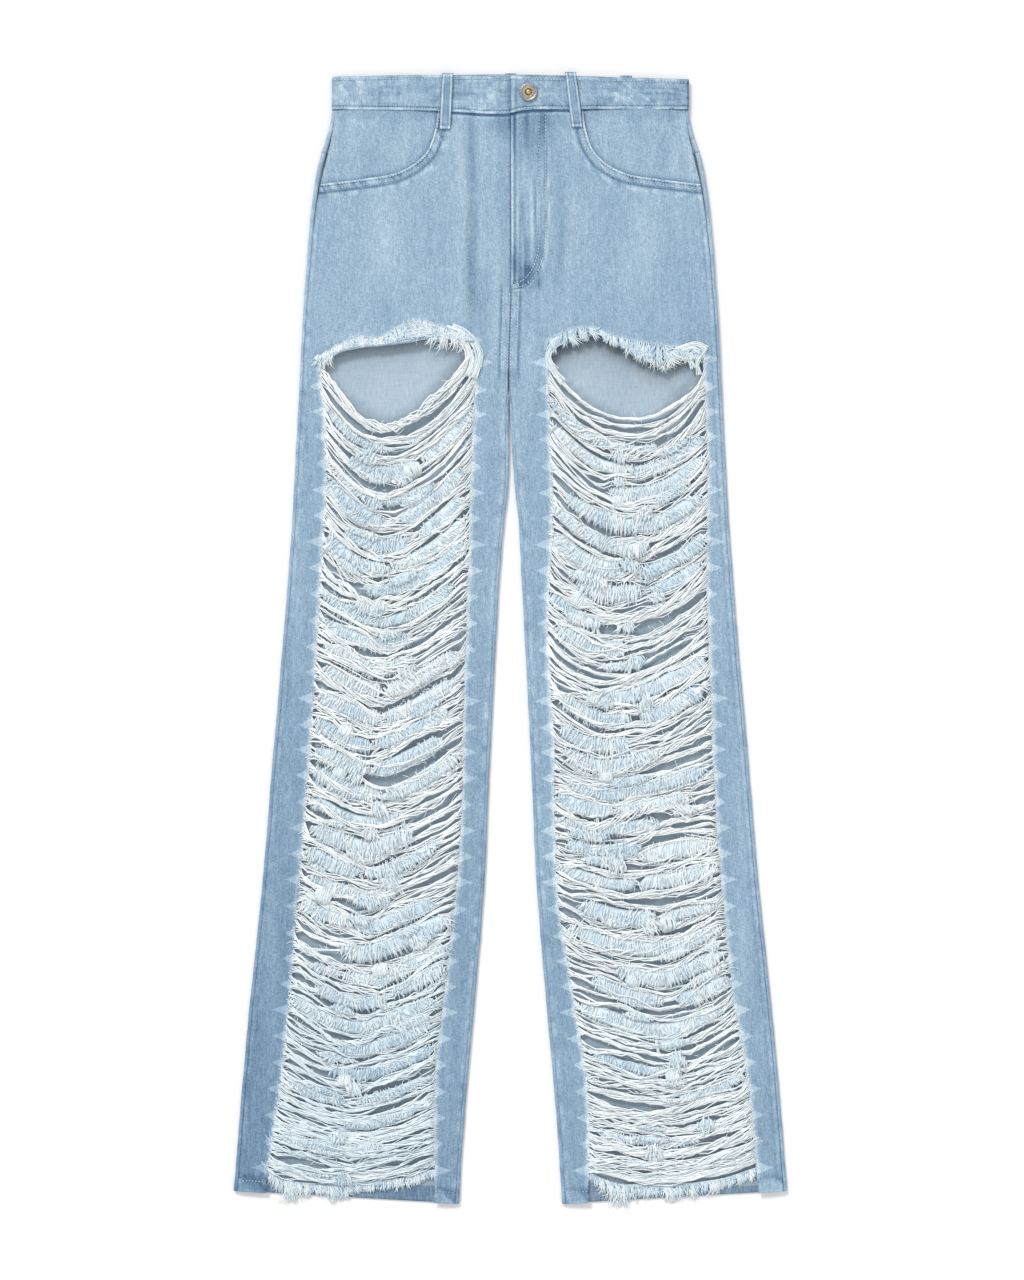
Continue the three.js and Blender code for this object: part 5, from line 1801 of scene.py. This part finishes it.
def rip_fringe_right():
    """The torn edge is turned up: a woolly roll whose ends curl upwards over the cloth."""
    leg = RIGHT
    rng = np.random.default_rng(301)
    parts = []
    # short runs of yarn along the rolled edge, from its lower lip up to the cut cloth
    points = 11
    s, offset = short_runs(24, 7, points, 0.9, ROLL_HEIGHT, 0.22, rng)
    s = np.clip(s, -0.015, 0.985)
    share = offset / ROLL_HEIGHT
    thick = np.clip(leg.cut_edge(s) - leg.rip_top(s), 3, 26) / 16
    y = leg.rip_top(s) + offset * thick + 0.6 * soft_noise(s * TORN_LENGTH, offset * 9, 11, 302)
    x = leg.window_x(s, y)
    z = front_z(leg, x, y) + 1.1 + 2.5 * np.sin(np.pi * np.clip(0.3 + share * 0.7, 0, 1))
    z = z + 0.4 * soft_noise(s * TORN_LENGTH, offset * 5, 8, 304) + np.linspace(-0.3, 0.3, points)
    tones = np.clip(mix(0.16, 0.60, share[:, 0]) + rng.normal(0, 0.10, len(s)), 0, 1)
    parts.append(tube_part(np.stack([x, y, z], -1), 1.25, tones, 0.9))
    # woolly ends swept up over the roll
    count = 980
    s = np.sort(rng.uniform(-0.02, 0.97, count))
    gather, shared = locks(s * WINDOW_WIDTH, (2.2, 6.0), rng)
    thick = np.clip(leg.cut_edge(s) - leg.rip_top(s), 5, 26)
    root = leg.rip_top(s) + rng.uniform(0.10, 0.66, count) * thick
    swirl = 0.70 * soft_noise(s * TORN_LENGTH, s * 0, 24, 303) + 0.45 * shared
    turn = np.pi / 2 + 0.35 + swirl + rng.normal(0, 0.25, count)
    curl = rng.normal(0.35, 0.7, count) - 0.5 * swirl
    length = np.maximum(thick, 12) * rng.uniform(0.28, 0.58, count) * (1 + 0.3 * shared) + 1.0
    length = length * ROLL_ENDS(s)
    tone = 0.63 + 0.16 * shared + 0.18 * soft_noise(s * TORN_LENGTH, root, 7, 305)
    heights = [3.4, 4.6, 4.6, 3.4, 1.6]
    parts.append(hairs_from(leg, s, root, turn, curl, length, heights, rng, 1.1, tone, 0.13, 6, gather))
    # short pale nap where the roll meets the cloth
    count = 300
    s = rng.uniform(0.0, 0.97, count)
    y = leg.cut_edge(s) + rng.uniform(-4, 1.5, count)
    turn = np.pi / 2 + rng.normal(0.2, 0.8, count)
    curl = rng.normal(0, 0.8, count)
    length = rng.uniform(2, 6, count)
    parts.append(hairs_from(leg, s, y, turn, curl, length, [1.0, 1.4, 0.9], rng, 0.6, 0.6, 0.15, 4))
    # white locks that hang into the rip near the inner corner, and at the outer corner
    s = np.sort(np.concatenate([rng.uniform(0.70, 0.92, 120), rng.uniform(-0.015, 0.09, 70)]))
    gather, shared = locks(s * WINDOW_WIDTH, (2.0, 5.0), rng)
    count = len(s)
    root = leg.rip_top(s) + rng.uniform(1, 9, count)
    inner = s > 0.5
    turn = -np.pi / 2 + np.where(inner, 0.5, -0.35) + 0.4 * shared + rng.normal(0, 0.2, count)
    curl = np.where(inner, -0.9, 0.3) + rng.normal(0, 0.5, count)
    length = np.where(inner, 14, 11) * rng.uniform(0.6, 1.1, count) * (1 + 0.3 * shared)
    heights = [3.6, 4.0, 2.8, 1.0]
    parts.append(hairs_from(leg, s, root, turn, curl, length, heights, rng, 1.0, 0.8, 0.12, 7, gather))
    # the skeins that turn down at the inner corner
    routes = [
        ([(-70, 302), (-54, 295), (-41, 284), (-37, 270), (-42, 256)], 5.5, 15, 0.80),
        ([(-62, 304), (-45, 296), (-33, 283), (-31, 268), (-36, 254)], 5.5, 15, 0.74),
        ([(-72, 299), (-56, 294), (-45, 285), (-42, 272), (-48, 258), (-60, 246)], 4.0, 11, 0.86),
        ([(-56, 306), (-44, 301), (-34, 291), (-28, 278), (-30, 264)], 4.0, 11, 0.70),
    ]
    parts += skeins(leg, routes, rng, 1.7, 2.0, 1.2)
    return joined_piece("jeans_rip_fringe_right", parts, YARN, "yarn", "rip_fringe_right")


def rip_fringe_left():
    """The torn edge hangs down in combed, curling tassels that grow towards the outer side."""
    leg = LEFT
    rng = np.random.default_rng(311)
    parts = []
    # a bleached nap that fades into the cloth
    count = 520
    s = rng.uniform(0.0, 1.0, count)
    y = leg.cut_edge(s) + rng.uniform(-3.5, 2.0, count)
    turn = rng.uniform(0, 2 * np.pi, count)
    curl = rng.normal(0, 0.8, count)
    length = rng.uniform(1.5, 4.5, count)
    parts.append(hairs_from(leg, s, y, turn, curl, length, [0.8, 1.1, 0.8], rng, 0.6, 0.55, 0.15, 4))
    # tassels
    count = 820
    s = np.sort(rng.uniform(0.05, 1.0, count))
    gather, shared = locks(s * WINDOW_WIDTH, (2.5, 6.5), rng)
    reach = np.clip(leg.cut_edge(s) - leg.rip_top(s), 4, 40)
    root = leg.cut_edge(s) + 2.5 - rng.uniform(0.0, 0.45, count) * reach
    length = np.maximum(root - leg.rip_top(s) - 2.0, 5) * rng.uniform(0.7, 1.1, count) * (1 + 0.3 * shared)
    sweep = 0.4 * soft_noise(s * TORN_LENGTH, s * 0, 20, 316)
    turn = -np.pi / 2 + 0.40 * shared + sweep + rng.normal(0, 0.14, count) + 0.12
    curl = 0.7 * shared - 1.2 * sweep + rng.normal(0, 0.35, count)
    tone = 0.50 + 0.16 * shared + 0.12 * soft_noise(s * TORN_LENGTH, root, 8, 315)
    heights = [1.0, 2.6, 3.4, 3.0, 1.2]
    parts.append(hairs_from(leg, s, root, turn, curl, length, heights, rng, 1.25, tone, 0.12, 7, gather))
    # ends that stand free of the long tassels
    count = 120
    s = rng.uniform(0.06, 0.5, count)
    root = leg.rip_top(s) + rng.uniform(3, 9, count)
    turn = -np.pi / 2 + rng.normal(0.1, 0.5, count)
    curl = rng.normal(0.3, 1.1, count)
    length = rng.uniform(4, 9, count)
    parts.append(hairs_from(leg, s, root, turn, curl, length, [3.0, 3.6, 2.0, 0.5], rng, 0.8, 0.85, 0.1, 7))
    # short locks that close the outer corner
    count = 90
    s = rng.uniform(-0.01, 0.13, count)
    root = leg.cut_edge(s) - rng.uniform(1, 7, count)
    turn = -np.pi / 2 + rng.normal(-0.5, 0.5, count)
    curl = rng.normal(0.2, 0.9, count)
    length = rng.uniform(5, 10, count)
    parts.append(hairs_from(leg, s, root, turn, curl, length, [2.0, 3.0, 2.6, 1.4], rng, 1.0, 0.72, 0.12, 6))
    # loose bundles at the outer corner, and the knot at the inner corner that feeds the web
    routes = [
        ([(157, 279), (168, 284), (180, 287), (191, 283)], 4.5, 11, 0.80),
        ([(156, 276), (167, 280), (178, 283), (189, 279)], 4.0, 10, 0.70),
        ([(158, 273), (167, 274), (173, 271), (176, 263)], 3.5, 9, 0.76),
        ([(189, 283), (184, 276), (181, 268), (183, 257)], 4.0, 10, 0.80),
        ([(50, 294), (43, 290), (38, 283), (37, 272), (43, 261)], 5.0, 14, 0.70),
        ([(52, 290), (42, 284), (37, 275), (42, 262), (52, 250)], 4.0, 11, 0.84),
    ]
    parts += skeins(leg, routes, rng, 1.6, 1.8, 1.6)
    # one long loose yarn that strays up the thigh
    stray = smooth_path([(76, 297, 8.6), (72, 306, 8.3), (69, 315, 8.0), (70, 322, 7.8)], 12)
    parts.append(tube_part(stray[None], 0.8, 0.95, 0.7))
    return joined_piece("jeans_rip_fringe_left", parts, YARN, "yarn", "rip_fringe_left")


# ---------------------------------------------------------------- fringes at the hems

# The torn hem as (share from the outer to the inner edge, level), and how far its ends hang
HEM_TEAR = {
    "right": profile(
        [(0, -518), (0.08, -526), (0.2, -530), (0.4, -532)]
        + [(0.6, -530), (0.8, -525), (1, -517)]
    ),
    "left": profile(
        [(0, -515), (0.1, -521), (0.22, -526), (0.4, -531)]
        + [(0.6, -533), (0.8, -531), (0.93, -525), (1, -518)]
    ),
}
HEM_REACH = {
    "right": profile(
        [(0, 8), (0.07, 14), (0.14, 15), (0.22, 8), (0.34, 7), (0.42, 14)]
        + [(0.5, 7), (0.8, 7), (1, 5)]
    ),
    "left": profile([(0, 7), (0.2, 8), (0.45, 10), (0.7, 10), (0.78, 17), (0.85, 19), (0.92, 12), (1, 7)]),
}
HEM_HEIGHT = 3.3  # of the torn hem above the surface
HEM_BAND = 8.5  # width of its torn band


def hem_fringe(leg):
    """What is left of the front hem: a pale torn band with combed locks that hang past it."""
    rng = np.random.default_rng(321 + leg.sign)
    tear = HEM_TEAR[leg.name]
    parts = []
    s, offset = short_runs(12, 6, 10, -1.0, HEM_BAND, 0.3, rng)
    s = np.clip(s, -0.01, 1.01)
    along = s * TORN_LENGTH
    y = tear(s) + offset * (0.75 + 0.3 * soft_noise(along, offset * 0, 25, 322))
    y = y + 0.5 * soft_noise(along, offset * 9, 9, 326)
    x = leg.window_x(s, y)
    z = HEM_HEIGHT + 1.2 * np.sin(np.pi * np.clip(offset / 10, 0, 1))
    z = z + 0.4 * soft_noise(along, offset * 4, 10, 323)
    tones = np.clip(mix(0.12, 0.45, offset[:, 0] / HEM_BAND) + rng.normal(0, 0.12, len(s)), 0, 1)
    parts.append(tube_part(np.stack([x, y, z], -1), 1.15, tones, 0.8))
    count, points = 760, 6
    s = np.sort(rng.uniform(0, 1, count))
    gather, shared = locks(s * WINDOW_WIDTH, (2.2, 6.0), rng)
    past = rng.uniform(-1.0, 6.0, count)
    top = tear(s) + past
    lean = 0.32 + 0.42 * soft_noise(s * TORN_LENGTH, s * 0, 26, 325) + 0.36 * shared
    turn = -np.pi / 2 + lean + rng.normal(0, 0.12, count)
    turn = turn - leg.sign * gather * 0.09
    curl = -0.4 - 0.6 * shared + rng.normal(0, 0.45, count)
    length = past * 0.7 + HEM_REACH[leg.name](s) * rng.uniform(0.5, 1.1, count) * (1 + 0.35 * shared)
    paths = curls(leg.window_x(s, top), top, turn, curl, np.maximum(length, 3), points)
    t = np.linspace(0, 1, points)[None]
    arch = 1.6 * np.sin(np.pi * np.clip(0.25 + t * 0.75, 0, 1)) - 2.0 * t**2
    uneven = rng.uniform(-0.3, 0.9, (count, 1)) + 0.3 * shared[:, None]
    paths[..., 2] = HEM_HEIGHT + arch + uneven
    tones = np.clip(0.62 + 0.18 * shared + rng.normal(0, 0.14, count), 0.05, 1)
    width = rng.uniform(0.85, 1.25, count)[:, None] * np.interp(t, [0, 0.3, 1], [0.8, 1, 0.45])
    parts.append(tube_part(paths, width, tones, 0.8 * width))
    # the wide pale rope just above it
    share = np.linspace(0.0, 1.0, 7)
    level = tear(share) + 13 + rng.normal(0, 0.6, 7)
    route = np.stack([leg.window_x(share, level), level], -1)
    parts.append(skein(leg, route, 6.5, 20, rng, 0.93, 0.2, 1.0, 0.5))
    return joined_piece("jeans_hem_fringe_" + leg.name, parts, YARN, "yarn", "hem_fringe_" + leg.name)


# ---------------------------------------------------------------- assembly


def build():
    makers = (front_panel, back_panel, yoke, back_pocket, pocket_facing)
    cloths = [[maker(leg) for leg in LEGS] for maker in makers]
    fly = fly_facing(LEFT)
    band = waistband()
    loops = [front_loop(leg) for leg in LEGS] + [back_loop(name) for name in BACK_LOOPS]
    webs = [build_web(web) for web in make_webs()]
    rips = [rip_fringe_right(), rip_fringe_left()]
    hems = [hem_fringe(leg) for leg in LEGS]
    stitches = seam_stitches()
    metals = button()
    for group in (*cloths, rips, hems, *webs, [fly, band, stitches], loops, metals):
        for piece in group:
            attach(piece, "root")


# ---------------------------------------------------------------- floor, light and camera


FLOOR_HALF = 4.0
SKY = 0.76


def floor():
    mesh = bpy.data.meshes.new("floor")
    corners = [(x * FLOOR_HALF, y * FLOOR_HALF, 0) for x, y in ((-1, -1), (1, -1), (1, 1), (-1, 1))]
    mesh.from_pydata(corners, [], [(0, 1, 2, 3)])
    obj = bpy.data.objects.new("floor", mesh)
    bpy.context.scene.collection.objects.link(obj)
    s = Shader("floor")
    s.surface.inputs["Base Color"].default_value = (0.86, 0.86, 0.87, 1)
    s.surface.inputs["Roughness"].default_value = 0.9
    mesh.materials.append(s.material)


def light_from(name, azimuth, elevation, strength, softness):
    light = bpy.data.lights.new(name, "SUN")
    light.energy = strength
    light.angle = math.radians(softness)
    obj = bpy.data.objects.new(name, light)
    bpy.context.scene.collection.objects.link(obj)
    obj.rotation_euler = (math.radians(90 - elevation), 0, math.radians(azimuth))


def lights():
    world = bpy.data.worlds.new("studio")
    world.use_nodes = True
    background = world.node_tree.nodes["Background"]
    background.inputs["Color"].default_value = (1.0, 1.0, 1.0, 1)
    background.inputs["Strength"].default_value = SKY
    bpy.context.scene.world = world
    light_from("key", 210, 42, 1.75, 14)
    light_from("fill", 20, 60, 0.30, 60)


FRAME_WIDTH = 0.993  # what the picture takes in across, in metres
PICTURE = (1024, 1280)
LENS = 85.0
SENSOR = 36.0
AIM = (0.0015, 0.0010)  # metres from the middle of the drawing frame


def camera():
    data = bpy.data.cameras.new("camera")
    data.lens = LENS
    data.sensor_width = SENSOR
    data.sensor_fit = "AUTO"
    obj = bpy.data.objects.new("camera", data)
    frame_height = FRAME_WIDTH * PICTURE[1] / PICTURE[0]
    obj.location = (AIM[0], AIM[1] + SHIFT[1] * MM, frame_height * LENS / SENSOR)
    bpy.context.scene.collection.objects.link(obj)
    bpy.context.scene.camera = obj
    bpy.context.scene.view_settings.view_transform = "Standard"


camera()
build()
floor()
lights()
